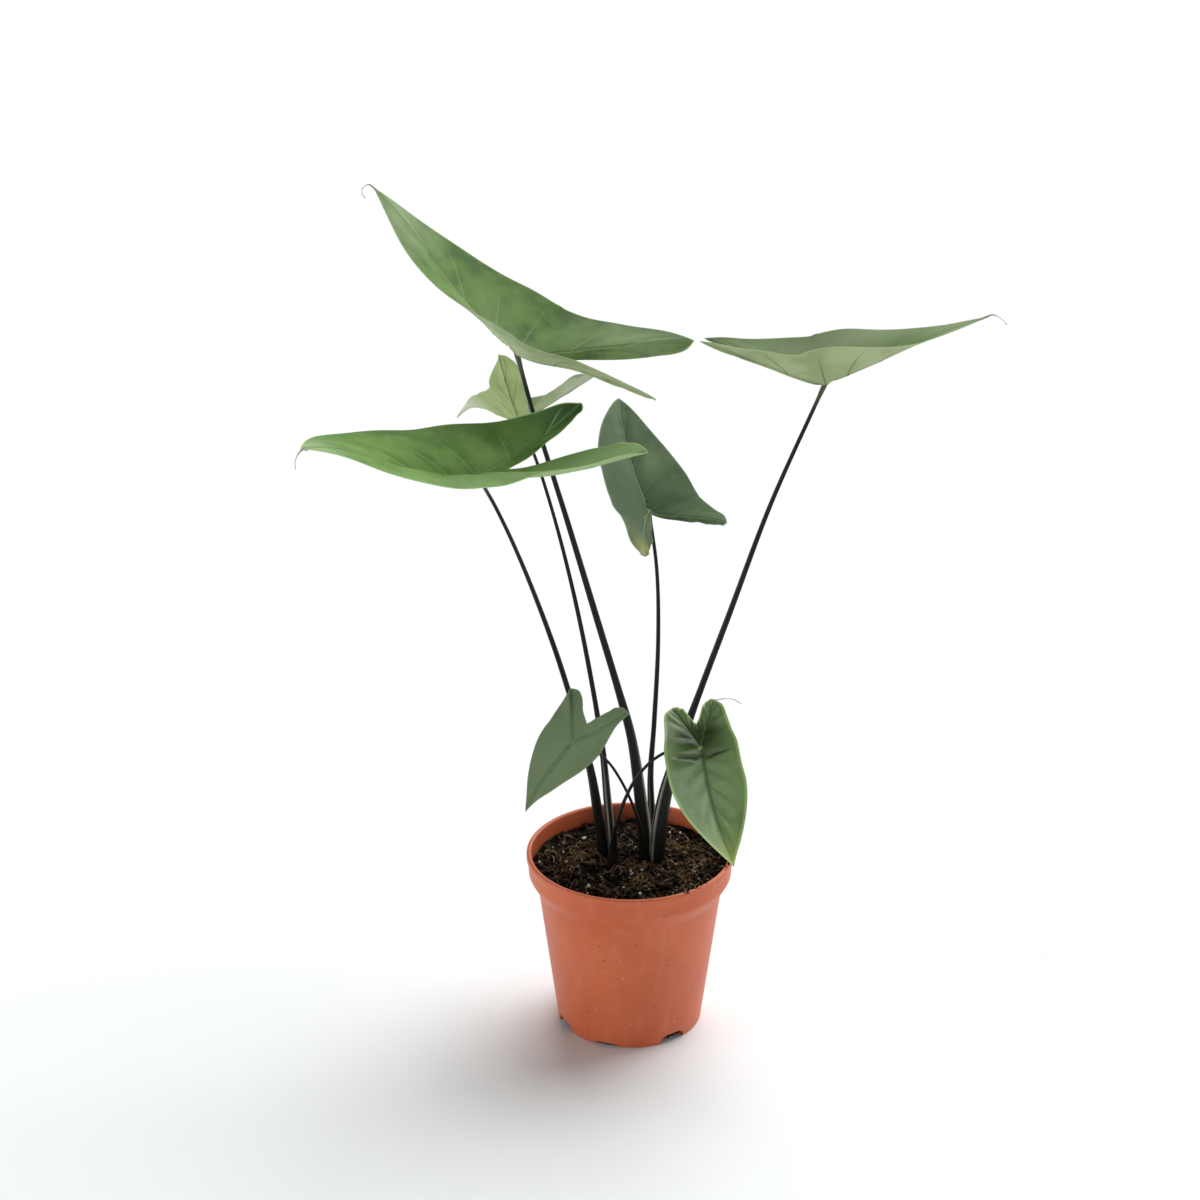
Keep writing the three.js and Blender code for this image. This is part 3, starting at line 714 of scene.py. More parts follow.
LEAF_FINISHES = {
    Leafage.FRESH: LeafFinish(
        "leaf_fresh_green", deep=srgb(64, 94, 44), fresh=srgb(90, 120, 58), light=srgb(112, 142, 68),
        under_deep=srgb(136, 152, 110), under_light=srgb(154, 168, 126), line_above=srgb(140, 164, 108),
        line_below=srgb(80, 88, 62), margin=srgb(164, 182, 136), shaded=srgb(66, 92, 48),
        hazy=srgb(168, 184, 146), vein_strength=0.42, gloss=0.1),
    Leafage.BRIGHT: LeafFinish(
        "leaf_bright_green", deep=srgb(80, 118, 48), fresh=srgb(98, 136, 62), light=srgb(122, 156, 82),
        under_deep=srgb(120, 146, 90), under_light=srgb(140, 164, 108), line_above=srgb(150, 178, 114),
        line_below=srgb(90, 106, 66), margin=srgb(162, 188, 126), shaded=srgb(18, 56, 0),
        hazy=srgb(158, 184, 132), vein_strength=0.38, gloss=0.12),
    Leafage.GREY: LeafFinish(
        "leaf_grey_green", deep=srgb(78, 97, 68), fresh=srgb(90, 110, 80), light=srgb(104, 122, 90),
        under_deep=srgb(112, 130, 102), under_light=srgb(130, 146, 116), line_above=srgb(122, 140, 108),
        line_below=srgb(70, 84, 62), margin=srgb(126, 140, 112), shaded=srgb(56, 74, 47),
        hazy=srgb(138, 156, 118), vein_strength=0.18, gloss=0.08),
    Leafage.PALE: LeafFinish(
        "leaf_pale_green", deep=srgb(104, 128, 78), fresh=srgb(118, 142, 86), light=srgb(136, 156, 94),
        under_deep=srgb(134, 153, 96), under_light=srgb(153, 170, 112), line_above=srgb(160, 178, 128),
        line_below=srgb(70, 82, 50), margin=srgb(168, 180, 148), shaded=srgb(96, 116, 70),
        hazy=srgb(196, 202, 188)),
    Leafage.PUCKERED: LeafFinish(
        "leaf_puckered_green", deep=srgb(92, 118, 72), fresh=srgb(110, 136, 86), light=srgb(132, 156, 104),
        under_deep=srgb(120, 142, 98), under_light=srgb(138, 158, 112), line_above=srgb(84, 104, 64),
        line_below=srgb(90, 106, 66), margin=srgb(160, 184, 112), shaded=srgb(34, 54, 12),
        hazy=srgb(142, 158, 124), yellowed=srgb(136, 152, 76), vein_strength=0.35, gloss=0.3,
        roughness=0.32),
}


class Tone(Enum):
    """What a patch of a blade turns to: painted shade, painted sheen and real yellowing; the value is the
    name of the mark.
    """

    # painted shade: darker patches in hollows, creases and lobes turned from the light
    DEEP = "painted_shade_patch"
    # painted sheen: lighter grey-green patches where the light catches the blade
    HAZY = "painted_sheen_patch"
    YELLOW = "yellow_patch"


@dataclass(frozen=True)
class Patch:
    """A soft oval patch of a blade: its tone, its middle ahead of and left of the joint, and its reach."""

    tone: Tone
    x: float
    y: float
    reach_x: float
    reach_y: float
    strength: float = 1.0


@dataclass(frozen=True)
class Blade:
    """One arrow-shaped blade: a long front half that ends in the tip, and two lobes behind the joint.

    joint is where the stalk meets the blade, heading the way the tip points seen from above, climb and roll
    the tilt at the joint. tip_length, half_width, lobe_length and lobe_spread give the flat outline,
    fullness how much the front half bulges, lobe_widths the half width at the root, the middle and the end
    of a lobe, inner_widths how far the left and the right lobe reach inwards from their ribs, and sinus how
    far behind the joint they part. folds are the angles that each half rises by at the joint, at the tip,
    at the lobes' ends and between the ribs. arch is how the midrib's slope changes to the tip, lobe_drop
    and drop_length how the left and right lobes droop, and cup, twist and sweep the halves' curl, the tip's
    turn and its turn in plan. drip and lobe_drip are the dried threads at the tip and at the left lobe's
    end, as offsets from there. veins is how many vein steps there are from end to end, vein_lean how far
    they lean, quilt how high the blade bulges between them, crease where ahead of the joint a crease
    crosses it and how deep this is, wave how wavy it is, and margin_width how wide the pale margin is.
    """

    joint: Point
    heading: float
    climb: float
    roll: float
    tip_length: float
    half_width: float
    lobe_length: float
    lobe_spread: float
    fullness: float
    lobe_widths: tuple[float, float, float]
    inner_widths: tuple[float, float]
    sinus: float
    folds: tuple[float, float, float, float]
    arch: tuple[float, float]
    lobe_drop: tuple[float, float, float]
    drop_length: float
    cup: float
    twist: float
    sweep: float
    leafage: Leafage
    drip: tuple[Point, ...] = ()
    lobe_drip: tuple[Point, ...] = ()
    patches: tuple[Patch, ...] = ()
    vein_lean: float = 0.03
    veins: float = 7.7
    quilt: float = 0.3
    crease: tuple[float, float] = (0.0, 0.0)
    wave: float = 0.5
    margin_width: float = 0.3
    seed: int = 1
    columns: int = 96
    rows: int = 34

    THICKNESS = 0.55
    EDGE_ROUNDING = 0.18
    FOLD_ROUNDING = 1.6
    FOLD_FADE = 7.0
    FRONT_LEAN = 0.3
    LOBE_LEAN = 0.85
    LOBE_START = 0.45
    VEIN_WIDTH = 0.8
    VEIN_DEPTH = 0.14
    VEIN_RISE_BELOW = 0.2
    RIB_DEPTH = 0.4
    RIB_RISE_BELOW = 0.9
    SEAT_RISE_BELOW = 0.7
    SEAT_REACH = 2.6

    def front(self, x: float, y: float) -> np.ndarray:
        """A point of the flat front half, in shares of its length and half width."""
        return np.array([x * self.tip_length, y * self.half_width])

    def lobe(self, x: float, y: float) -> np.ndarray:
        """A point of a flat lobe, in shares along its rib and out from it."""
        spread = np.radians(self.lobe_spread)
        along = np.array([-np.cos(spread), np.sin(spread)])
        across = np.array([np.sin(spread), np.cos(spread)])
        return along * x * self.lobe_length + across * y * self.half_width

    def outer_rail(self) -> list[np.ndarray]:
        """The outer margin of one half, from the tip back to the lobe's end."""
        full = self.fullness
        front = [(1, 0), (0.8, 0.17 + 0.1 * full), (0.6, 0.43 + 0.12 * full), (0.4, 0.68 + 0.1 * full),
                 (0.2, 0.91 + 0.03 * full), (0.02, 1)]
        lobe = [*zip((0.42, 0.7, 0.9), self.lobe_widths), (1, 0)]
        return [self.front(x, y) for x, y in front] + [self.lobe(x, y) for x, y in lobe]

    def rib_rail(self) -> list[np.ndarray]:
        """The midrib from the tip to the joint, and on along the lobe's rib to its end."""
        front = [self.front(x, 0) for x in (1, 0.74, 0.48, 0.27, 0.11, 0)]
        return front + [self.lobe(x, 0) for x in (0.25, 0.55, 0.82, 1)]

    def inner_rail(self, side: int) -> list[np.ndarray]:
        """The inner margin of the lobe on one side, from where the lobes part to the lobe's end."""
        left, right = self.inner_widths
        inner = []
        for x, y in ((0.55, 0.36), (0.78, 0.36), (0.93, 0.26)):
            point = self.lobe(x, -y * (left if side > 0 else right))
            point[1] = max(point[1], (0.04 + 0.06 * x) * self.half_width)
            inner.append(point)
        return [self.front(-self.sinus, 0), *inner, self.lobe(1, 0)]

    def spine(self, x: np.ndarray, drop: float) -> tuple[np.ndarray, np.ndarray, np.ndarray]:
        """The bent line that the flat blade hangs on.

        Ahead of the joint the slope is arch[0] * s + arch[1] * s squared and the turn in plan is sweep * s
        squared, s being the share of the way to the tip. Behind it the lobe falls by drop, eased in over
        drop_length, plus lobe_drop[2] * s squared. The line is the running sum of its tangents.

        Args:
            x: places along the flat blade, positive ahead of the joint.
            drop: how much the lobe droops.

        Returns:
            The points of the line, its tangents, and s, at those places.
        """
        lobe_span = self.lobe_length * np.cos(np.radians(self.lobe_spread))
        fine = np.linspace(0, 1.3, 261)
        middles = (fine[1:] + fine[:-1]) / 2
        ahead, s = x >= 0, np.where(x >= 0, x / self.tip_length, -x / lobe_span)

        def tangent_ahead(s: np.ndarray) -> np.ndarray:
            """The unit tangent at a share of the way to the tip."""
            rise = np.radians(self.arch[0] * s + self.arch[1] * s ** 2)
            turn = np.radians(self.sweep * s ** 2)
            return np.stack([np.cos(rise) * np.cos(turn), np.cos(rise) * np.sin(turn), np.sin(rise)], axis=-1)

        def tangent_behind(s: np.ndarray) -> np.ndarray:
            """The unit tangent at a share of the way to the lobe's end."""
            fall = -np.radians(drop * ease(s, 0, self.drop_length) + self.lobe_drop[2] * s ** 2)
            return np.stack([np.cos(fall), 0 * s, np.sin(fall)], axis=-1)

        def line(tangent: np.ndarray, length: float) -> np.ndarray:
            """The running sum of the tangents, read at s."""
            steps = tangent * length * (fine[1] - fine[0])
            run = np.concatenate([np.zeros((1, 3)), np.cumsum(steps, axis=0)])
            return np.stack([np.interp(s, fine, run[:, k]) for k in range(3)], axis=-1)

        points = np.where(ahead[..., None], line(tangent_ahead(middles), self.tip_length),
                          line(tangent_behind(middles), -lobe_span))
        tangents = np.where(ahead[..., None], tangent_ahead(s), tangent_behind(s))
        return points, tangents, s

    def lift(self, side: int, x: np.ndarray, y: np.ndarray, drop: float) -> np.ndarray:
        """Lifts points of the flat blade onto the bent, folded and cupped one.

        Away from the rib a half rises at the fold angle, which the cup then bends further with the distance,
        as an arc does. Between the ribs of the lobes the angle eases from that of the margin at the joint
        into the one that folds gives. The valley at the rib is rounded off, as rounded() says.

        Args:
            side: 1 for the left half and -1 for the right one.
            x, y: the flat place, y outwards from the midrib.
            drop: how much this lobe droops.

        Returns:
            The points in the blade's own frame.
        """
        points, tangents, s = self.spine(x, drop)
        ahead = x >= 0
        turn = np.where(ahead, np.radians(self.sweep) * s ** 2, 0)
        twist = np.where(ahead, np.radians(self.twist) * s ** 2, 0)[..., None]
        level = np.stack([-np.sin(turn), np.cos(turn), 0 * s], axis=-1)
        up = np.cross(tangents, level)
        sideways = level * np.cos(twist) + up * np.sin(twist)
        normal = up * np.cos(twist) - level * np.sin(twist)

        joint, tip, lobe, between = np.radians(self.folds)
        fold = blend(joint, np.where(ahead, tip, lobe), ease(s, 0, 1))
        between = blend(joint + np.radians(self.cup), between, ease(s, 0, self.LOBE_START))
        rib_offset = np.where(ahead, 0, -x * np.tan(np.radians(self.lobe_spread)))
        inner = np.minimum(y, rib_offset)
        outer = np.maximum(y - rib_offset, 0)
        curl = (np.radians(self.cup) or 1e-6) / self.half_width
        out = inner * np.cos(between) + (np.sin(fold + curl * outer) - np.sin(fold)) / curl
        rise = inner * np.sin(between) + (np.cos(fold) - np.cos(fold + curl * outer)) / curl
        ribbed = between * ease(-x / self.lobe_length, 0, 0.15)
        rise = rise - self.rounded(outer) * (np.sin(fold) - np.sin(ribbed))
        rise = rise - self.rounded(inner) * np.sin(between)
        return points + sideways * (side * out)[..., None] + normal * rise[..., None]

    def rounded(self, distance: np.ndarray) -> np.ndarray:
        """How much of a fold is taken off near its rib: r (1 - exp(-d / r)) exp(-d / fade)."""
        near = self.FOLD_ROUNDING * (1 - np.exp(-distance / self.FOLD_ROUNDING))
        return near * np.exp(-distance / self.FOLD_FADE)

    def strip(self, side: int, inside: bool) -> Shell:
        """One quarter of the blade's middle surface: a grid from the rib to the outer or the inner margin.

        Its corners are rib(t) + (margin(t) - rib(t)) * v, with t along the rib and v out from it. The veins
        are the lines where vein_phase is a whole number: t, counted from the joint and leaned by v, in equal
        steps.

        Args:
            side: 1 for the left half and -1 for the right one.
            inside: whether it lies between the ribs, behind the joint.

        Returns:
            The strip, with the marks that the finish and the relief read.
        """
        if inside:
            t = np.linspace(0, 1, int(self.columns * 0.7) + 1)
            rib = rail(self.rib_rail(), blend(JOINT_AT, 1, t))
            margin = rail(self.inner_rail(side), t)
            v = np.linspace(0, 1, self.rows // 2) ** 1.3
            from_joint = t * (1 - JOINT_AT)
        else:
            t = np.concatenate([np.linspace(0, JOINT_AT, self.columns),
                                np.linspace(JOINT_AT, 1, int(self.columns * 0.7) + 1)[1:]])
            rib, margin = rail(self.rib_rail(), t), rail(self.outer_rail(), t)
            v = np.sort(np.concatenate([np.linspace(0, 1, self.rows) ** 1.6, [0.972, 0.988, 0.996]]))
            from_joint = t - JOINT_AT
        flat = rib[:, None] + (margin - rib)[:, None] * v[None, :, None]
        x, y = flat[..., 0], np.maximum(flat[..., 1], 0)
        width = np.linalg.norm(margin - rib, axis=1)[:, None]
        from_joint, t, v = np.broadcast_arrays(from_joint[:, None], t[:, None], v[None])

        drop = self.lobe_drop[0] if side > 0 else self.lobe_drop[1]
        own = self.lift(side, x, y, drop)
        middle = self.lift(side, x, y, (self.lobe_drop[0] + self.lobe_drop[1]) / 2)
        rib_offset = np.maximum(-x * np.tan(np.radians(self.lobe_spread)), 1e-6)
        share = np.where(x >= 0, 1, np.clip(y / rib_offset, 0, 1)) * (y > 1e-6)
        points = blend(middle, own, share[..., None])

        lean = np.where(from_joint < 0, self.FRONT_LEAN, self.LOBE_LEAN)
        phase = self.veins * (from_joint + self.vein_lean * v * (not inside)) / (1 + lean * v)
        along, across = np.gradient(flat, axis=(0, 1))
        area = along[..., 0] * across[..., 1] - along[..., 1] * across[..., 0]
        rise_along, rise_across = np.gradient(phase)
        slope = np.hypot(rise_along * across[..., 1] - rise_across * along[..., 1],
                         rise_across * along[..., 0] - rise_along * across[..., 0])
        step = np.clip(np.abs(area) / np.maximum(slope, 1e-9), 0.5, 60)
        reach = 1 - ease(v, 0.35, 0.9)
        show = reach * ease(t, 0.02, 0.2) * (1 - ease(t, 0.86, 0.99))
        if inside:
            show = show * 0.5 * ease(t, 0.15, 0.4)
        rib_width = 0.1 + 0.45 * (1 - ease(np.abs(from_joint), 0, 0.6)) ** 1.5
        marks = {
            "side": np.where(y < 1e-6, 0.0, float(side)), "flat_x": x, "flat_y": y,
            "rib_gap": width * v, "margin_gap": width * (1 - v), "joint_gap": np.hypot(x, y),
            "margin_line": width * (1 - v) / self.margin_width,
            "rib_width": rib_width, "vein_phase": phase, "vein_step": step, "vein_show": show,
            "across": v, "along": t + (2 if inside else 0),
        }
        for tone in Tone:
            marks[tone.value] = self.toned(tone, x, y * side)
        faces = grid_faces(*x.shape)
        if (side > 0) == inside:
            faces = faces[:, ::-1]
        return Shell(points.reshape(-1, 3), [faces], {name: values.ravel() for name, values in marks.items()})

    def toned(self, tone: Tone, x: np.ndarray, y: np.ndarray) -> np.ndarray:
        """How strongly the blade's patches of one tone show: the sum of exp(-(distance / reach) squared).

        Args:
            tone: the tone.
            x, y: the flat place, y to the left.

        Returns:
            Values from 0 to 1.
        """
        total = 0 * x
        for patch in self.patches:
            if patch.tone is tone:
                gap = np.hypot((x - patch.x) / patch.reach_x, (y - patch.y) / patch.reach_y)
                total = total + patch.strength * np.exp(-gap ** 2)
        return np.clip(total, 0, 1)

    def middle_surface(self) -> Shell:
        """The four strips of the blade sewn together: corners at the same flat place become one."""
        whole = join([self.strip(side, inside) for side in (1, -1) for inside in (False, True)])
        keys = np.stack([whole.marks[name] for name in ("side", "flat_x", "flat_y")], axis=1)
        _, kept, number = np.unique(np.round(keys, 3), axis=0, return_index=True, return_inverse=True)
        faces = number.ravel()[np.concatenate(whole.faces)]
        following = np.roll(faces, -1, axis=1)
        folded = (faces == following).sum(axis=1)
        quads = faces[folded == 0]
        pinched = faces[folded == 1]
        keep = pinched != np.roll(pinched, -1, axis=1)
        triangles = pinched[keep].reshape(-1, 3)
        marks = {name: values[kept] for name, values in whole.marks.items()}
        return Shell(whole.points[kept], [quads, triangles], marks)

    def wavy(self, marks: dict[str, np.ndarray]) -> np.ndarray:
        """How far the surface stands off the blade's plain form: waves at the margin and random swells."""
        margin = marks["across"] ** 2
        turn = 2 * np.pi * marks["along"]
        waves = np.sin(3.1 * turn + self.seed) + 0.6 * np.sin(5.3 * turn + 2 * self.seed + marks["side"])
        left = marks["flat_y"] * marks["side"]
        swell = Relief(self.seed).layers(marks["flat_x"], left, {28.0: 1.0, 13.0: 0.5})
        away = ease(marks["joint_gap"], 2, 25)
        return self.wave * away * (margin * waves + 0.7 * swell)

    def shell(self) -> Shell:
        """The blade as a closed shell: the middle surface thickened, with ribs, veins and quilting on it.

        Above, ribs and veins are sunk by a bell curve of their distance; below, they stand out. Between the
        veins the blade bulges upwards by 0.5 - 0.5 cos(2 pi phase). Towards the margin it thins, and the
        margin is closed by a rounded band. A crease is a bell-shaped valley with a low swelling ahead of it.

        Returns:
            The shell in the frame of the plant.
        """
        middle = self.middle_surface()
        marks = middle.marks
        normals = middle.corner_normals()
        middle.points = middle.points + normals * self.wavy(marks)[:, None]
        normals = middle.corner_normals()

        rib = np.exp(-(marks["rib_gap"] / (marks["rib_width"] + 0.55)) ** 2)
        vein_gap = np.abs(marks["vein_phase"] - np.round(marks["vein_phase"])) * marks["vein_step"]
        vein = np.exp(-(vein_gap / self.VEIN_WIDTH) ** 2) * marks["vein_show"]
        bulge = (0.5 - 0.5 * np.cos(2 * np.pi * marks["vein_phase"])) * marks["vein_show"]
        bulge = bulge * ease(marks["rib_gap"], 0, 6) * self.quilt
        crease_at, crease_depth = self.crease
        past = marks["flat_x"] - crease_at + 0.12 * marks["flat_y"]
        crossing = np.exp(-(past / 1.3) ** 2) - 0.6 * np.exp(-((past - 3) / 1.8) ** 2)
        sides = ease(marks["flat_y"], 1.5, 5) * (1 - ease(marks["flat_y"], 13, 19))
        bulge = bulge - crease_depth * crossing * sides
        half = self.THICKNESS / 2 * (1 - 0.5 * np.exp(-marks["margin_gap"] / 1.2))
        girth = marks["rib_width"] / 0.55
        above = half + bulge - self.RIB_DEPTH * rib * girth - self.VEIN_DEPTH * vein
        seat = self.SEAT_RISE_BELOW * np.exp(-(marks["joint_gap"] / self.SEAT_REACH) ** 2)
        below = -half + bulge - self.RIB_RISE_BELOW * rib * girth - self.VEIN_RISE_BELOW * vein - seat
        top = middle.points + normals * above[:, None]
        bottom = middle.points + normals * below[:, None]

        count = len(top)
        loops = np.concatenate([np.stack([block[:, k], np.roll(block, -1, axis=1)[:, k]], axis=1)
                                for block in middle.faces for k in range(block.shape[1])])
        _, which, times = np.unique(np.sort(loops, axis=1), axis=0, return_inverse=True, return_counts=True)
        rim = loops[times[which.ravel()] == 1]
        start, end = rim.T
        outward = np.zeros_like(top)
        sideways = np.cross(top[end] - top[start], normals[start])
        np.add.at(outward, start, sideways)
        np.add.at(outward, end, sideways)
        on_rim = np.unique(rim)
        place = np.zeros(count, int)
        place[on_rim] = np.arange(len(on_rim))
        crest = (top + bottom)[on_rim] / 2 + unit(outward[on_rim]) * self.EDGE_ROUNDING
        first, second = 2 * count + place[start], 2 * count + place[end]
        band = [np.stack([start, first, second, end], axis=1),
                np.stack([first, start + count, end + count, second], axis=1)]
        faces = [*middle.faces, *(block[:, ::-1] + count for block in middle.faces), *band]
        spread = {name: np.concatenate([values, values, values[on_rim]]) for name, values in marks.items()}
        spread["under"] = np.concatenate([np.zeros(count), np.ones(count), np.full(len(on_rim), 0.5)])
        local = np.concatenate([top, bottom, crest])
        return Shell(self.placed(local), faces, spread)

    def axes(self) -> np.ndarray:
        """The blade's own axes as columns: turned by roll about X, then by climb, then by heading."""
        angles = np.radians([self.roll, -self.climb, self.heading])
        (c, cos_climb, cos_heading), (s, sin_climb, sin_heading) = np.cos(angles), np.sin(angles)
        about_x = np.array([[1, 0, 0], [0, c, -s], [0, s, c]])
        about_y = np.array([[cos_climb, 0, sin_climb], [0, 1, 0], [-sin_climb, 0, cos_climb]])
        about_z = np.array([[cos_heading, -sin_heading, 0], [sin_heading, cos_heading, 0], [0, 0, 1]])
        return about_z @ about_y @ about_x

    def placed(self, local: np.ndarray) -> np.ndarray:
        """Points of the blade's own frame, in the frame of the plant."""
        return local @ self.axes().T + np.array(self.joint)

    def tip(self) -> np.ndarray:
        """The point of the blade's tip."""
        return self.placed(self.lift(1, np.array([self.tip_length]), np.zeros(1), 0.0))[0]

    def lobe_end(self) -> np.ndarray:
        """The end point of the left lobe."""
        x, y = self.lobe(1, 0)
        return self.placed(self.lift(1, np.array([x]), np.array([y]), self.lobe_drop[0]))[0]


@dataclass(frozen=True)
class Stalk:
    """One stalk: its route from the soil up to the blade, and its radius at the soil, half way and on top."""

    route: tuple[Point, ...]
    girth: tuple[float, float, float]
    approach: float = 0.0
    groove_turn: float = 0.0

    FOOT = 74.0
    PRESSED = 7.0
    STEPS = 110
    SIDES = 36
    BUNCHING = 0.225
    GROOVE_DEPTH = 0.42
    GROOVE_WIDTH = 0.42
    RIDGE_TURN = 0.72
    RIDGE_WIDTH = 0.16
    RIDGE_HEIGHT = 0.1
    MARGIN_WIDTH = 0.15

    def shell(self, blade: Blade) -> Shell:
        """The stalk: round above, widening into a channelled sheath with two thin raised margins below.

        At an angle a round the section, the radius is the stalk's own, less a bell-shaped groove at a = 0,
        plus two narrow ridges beside the groove. Groove and ridges fade out where the sheath closes. The top
        is pressed flat against the blade's underside.

        Args:
            blade: the blade that it carries.

        Returns:
            The stalk as a closed tube, marked with its sheath margins and its ripening top.
        """
        soil, middle, top = self.girth
        under = -blade.axes()[:, 2]
        end = np.array(blade.joint) + under * 0.35
        turn = [end + under * self.approach] if self.approach > 0 else []
        x, y, _ = self.route[0]
        points = np.array([(x, y, self.FOOT + soil), *self.route, *turn, end])
        centres = smooth_route(points, self.STEPS)
        t = np.linspace(0, 1, self.STEPS + 1)[:, None]
        sheath = 1 - ease(t, 0.08, 0.42)
        slender = blend(middle, top, ease(t, 0.3, 1))
        radius = blend(slender, soil, sheath)
        radius = radius + 0.35 * top * ease(t, 0.965, 0.995)

        a = np.linspace(0, 2 * np.pi, self.SIDES, endpoint=False)[None]
        a = a - self.BUNCHING * np.sin(2 * a)
        gap = np.abs((a + np.pi) % (2 * np.pi) - np.pi)
        open_sheath = 1 - ease(t, 0.16, 0.34)
        groove = np.exp(-(gap / self.GROOVE_WIDTH) ** 2) * open_sheath
        ridge = np.exp(-((gap - self.RIDGE_TURN) / self.RIDGE_WIDTH) ** 2) * open_sheath
        distance = radius * (1 - self.GROOVE_DEPTH * groove + self.RIDGE_HEIGHT * ridge)
        distance = distance * (1 + 0.06 * sheath * np.cos(2 * (a - np.pi / 2)))
        offsets = np.stack([distance * np.cos(a + 0 * t), distance * np.sin(a + 0 * t)], axis=-1)

        tangents = unit(np.gradient(centres, axis=0))
        inward = np.cross(np.cross(tangents, [0.0, 0.0, 1.0]), tangents)
        lean = np.radians(self.groove_turn)
        inner = unit(inward[: self.STEPS // 3].mean(axis=0))
        axis = tangents[self.STEPS // 6]
        inner = inner * np.cos(lean) + np.cross(axis, inner) * np.sin(lean)
        shell = tube(centres, offsets, np.broadcast_to(inner, centres.shape))
        local = (shell.points - np.array(blade.joint)) @ blade.axes()
        near = np.linalg.norm(local, axis=1) < self.PRESSED
        local[near, 2] = np.minimum(local[near, 2], -0.32)
        shell.points = blade.placed(local)
        ends = np.zeros(2)
        margin = np.exp(-((gap - self.RIDGE_TURN) / self.MARGIN_WIDTH) ** 2) * open_sheath
        ripe = ease(t, 0.93, 1.0) + 0 * a
        shell.marks = {"sheath_margin": np.concatenate([margin.ravel(), ends]),
                       "ripe": np.concatenate([ripe.ravel(), ends])}
        return shell


@dataclass(frozen=True)
class Leaf:
    """A blade on its stalk."""

    name: str
    blade: Blade
    stalk: Stalk

    THREAD_STEPS = 22
    THREAD_SIDES = 8
    THREAD_END = 0.22
    TIP_THREAD = 0.75
    LOBE_THREAD = 0.4

    def thread(self, end: np.ndarray, drip: tuple[Point, ...], girth: float) -> Shell:
        """A dried thread: a tapered tube from inside the blade's end through the drip's points.

        Args:
            end: the end of the blade that it starts from.
            drip: its points, as offsets from there.
            girth: its radius at the root.

        Returns:
            The thread as a closed tube.
        """
        inward = unit(np.array(self.blade.joint) - end)
        route = np.array([end + 4 * inward, end + 1.5 * inward, *(end + np.array(p) for p in drip)])
        centres = smooth_route(route, self.THREAD_STEPS)
        t = np.linspace(0, 1, self.THREAD_STEPS + 1)[:, None]
        radius = blend(girth, self.THREAD_END, ease(t, 0.0, 0.6))
        a = np.linspace(0, 2 * np.pi, self.THREAD_SIDES, endpoint=False)[None]
        offsets = np.stack([radius * np.cos(a), radius * np.sin(a)], axis=-1)
        upward = np.broadcast_to(np.array([0.35, 0.9, 0.25]), centres.shape)
        return tube(centres, offsets, upward)

    def build(self, leaf_skins: dict[Leafage, bpy.types.Material], stalk_skin: bpy.types.Material,
              dry: bpy.types.Material) -> None:
        """Builds the leaf's pieces.

        Args:
            leaf_skins: the blade finishes.
            stalk_skin: the finish of the stalk.
            dry: the finish of the dried thread.
        """
        self.blade.shell().piece(f"blade_{self.name}", "leaf", leaf_skins[self.blade.leafage],
                                 (f"blade_{self.name}",))
        self.stalk.shell(self.blade).piece(f"stalk_{self.name}", "stalk", stalk_skin, (f"stalk_{self.name}",))
        threads = {"thread": (self.blade.tip(), self.blade.drip, self.TIP_THREAD),
                   "lobe_thread": (self.blade.lobe_end(), self.blade.lobe_drip, self.LOBE_THREAD)}
        for kind, (end, drip, girth) in threads.items():
            if drip:
                self.thread(end, drip, girth).piece(f"{kind}_{self.name}", "leaf", dry)
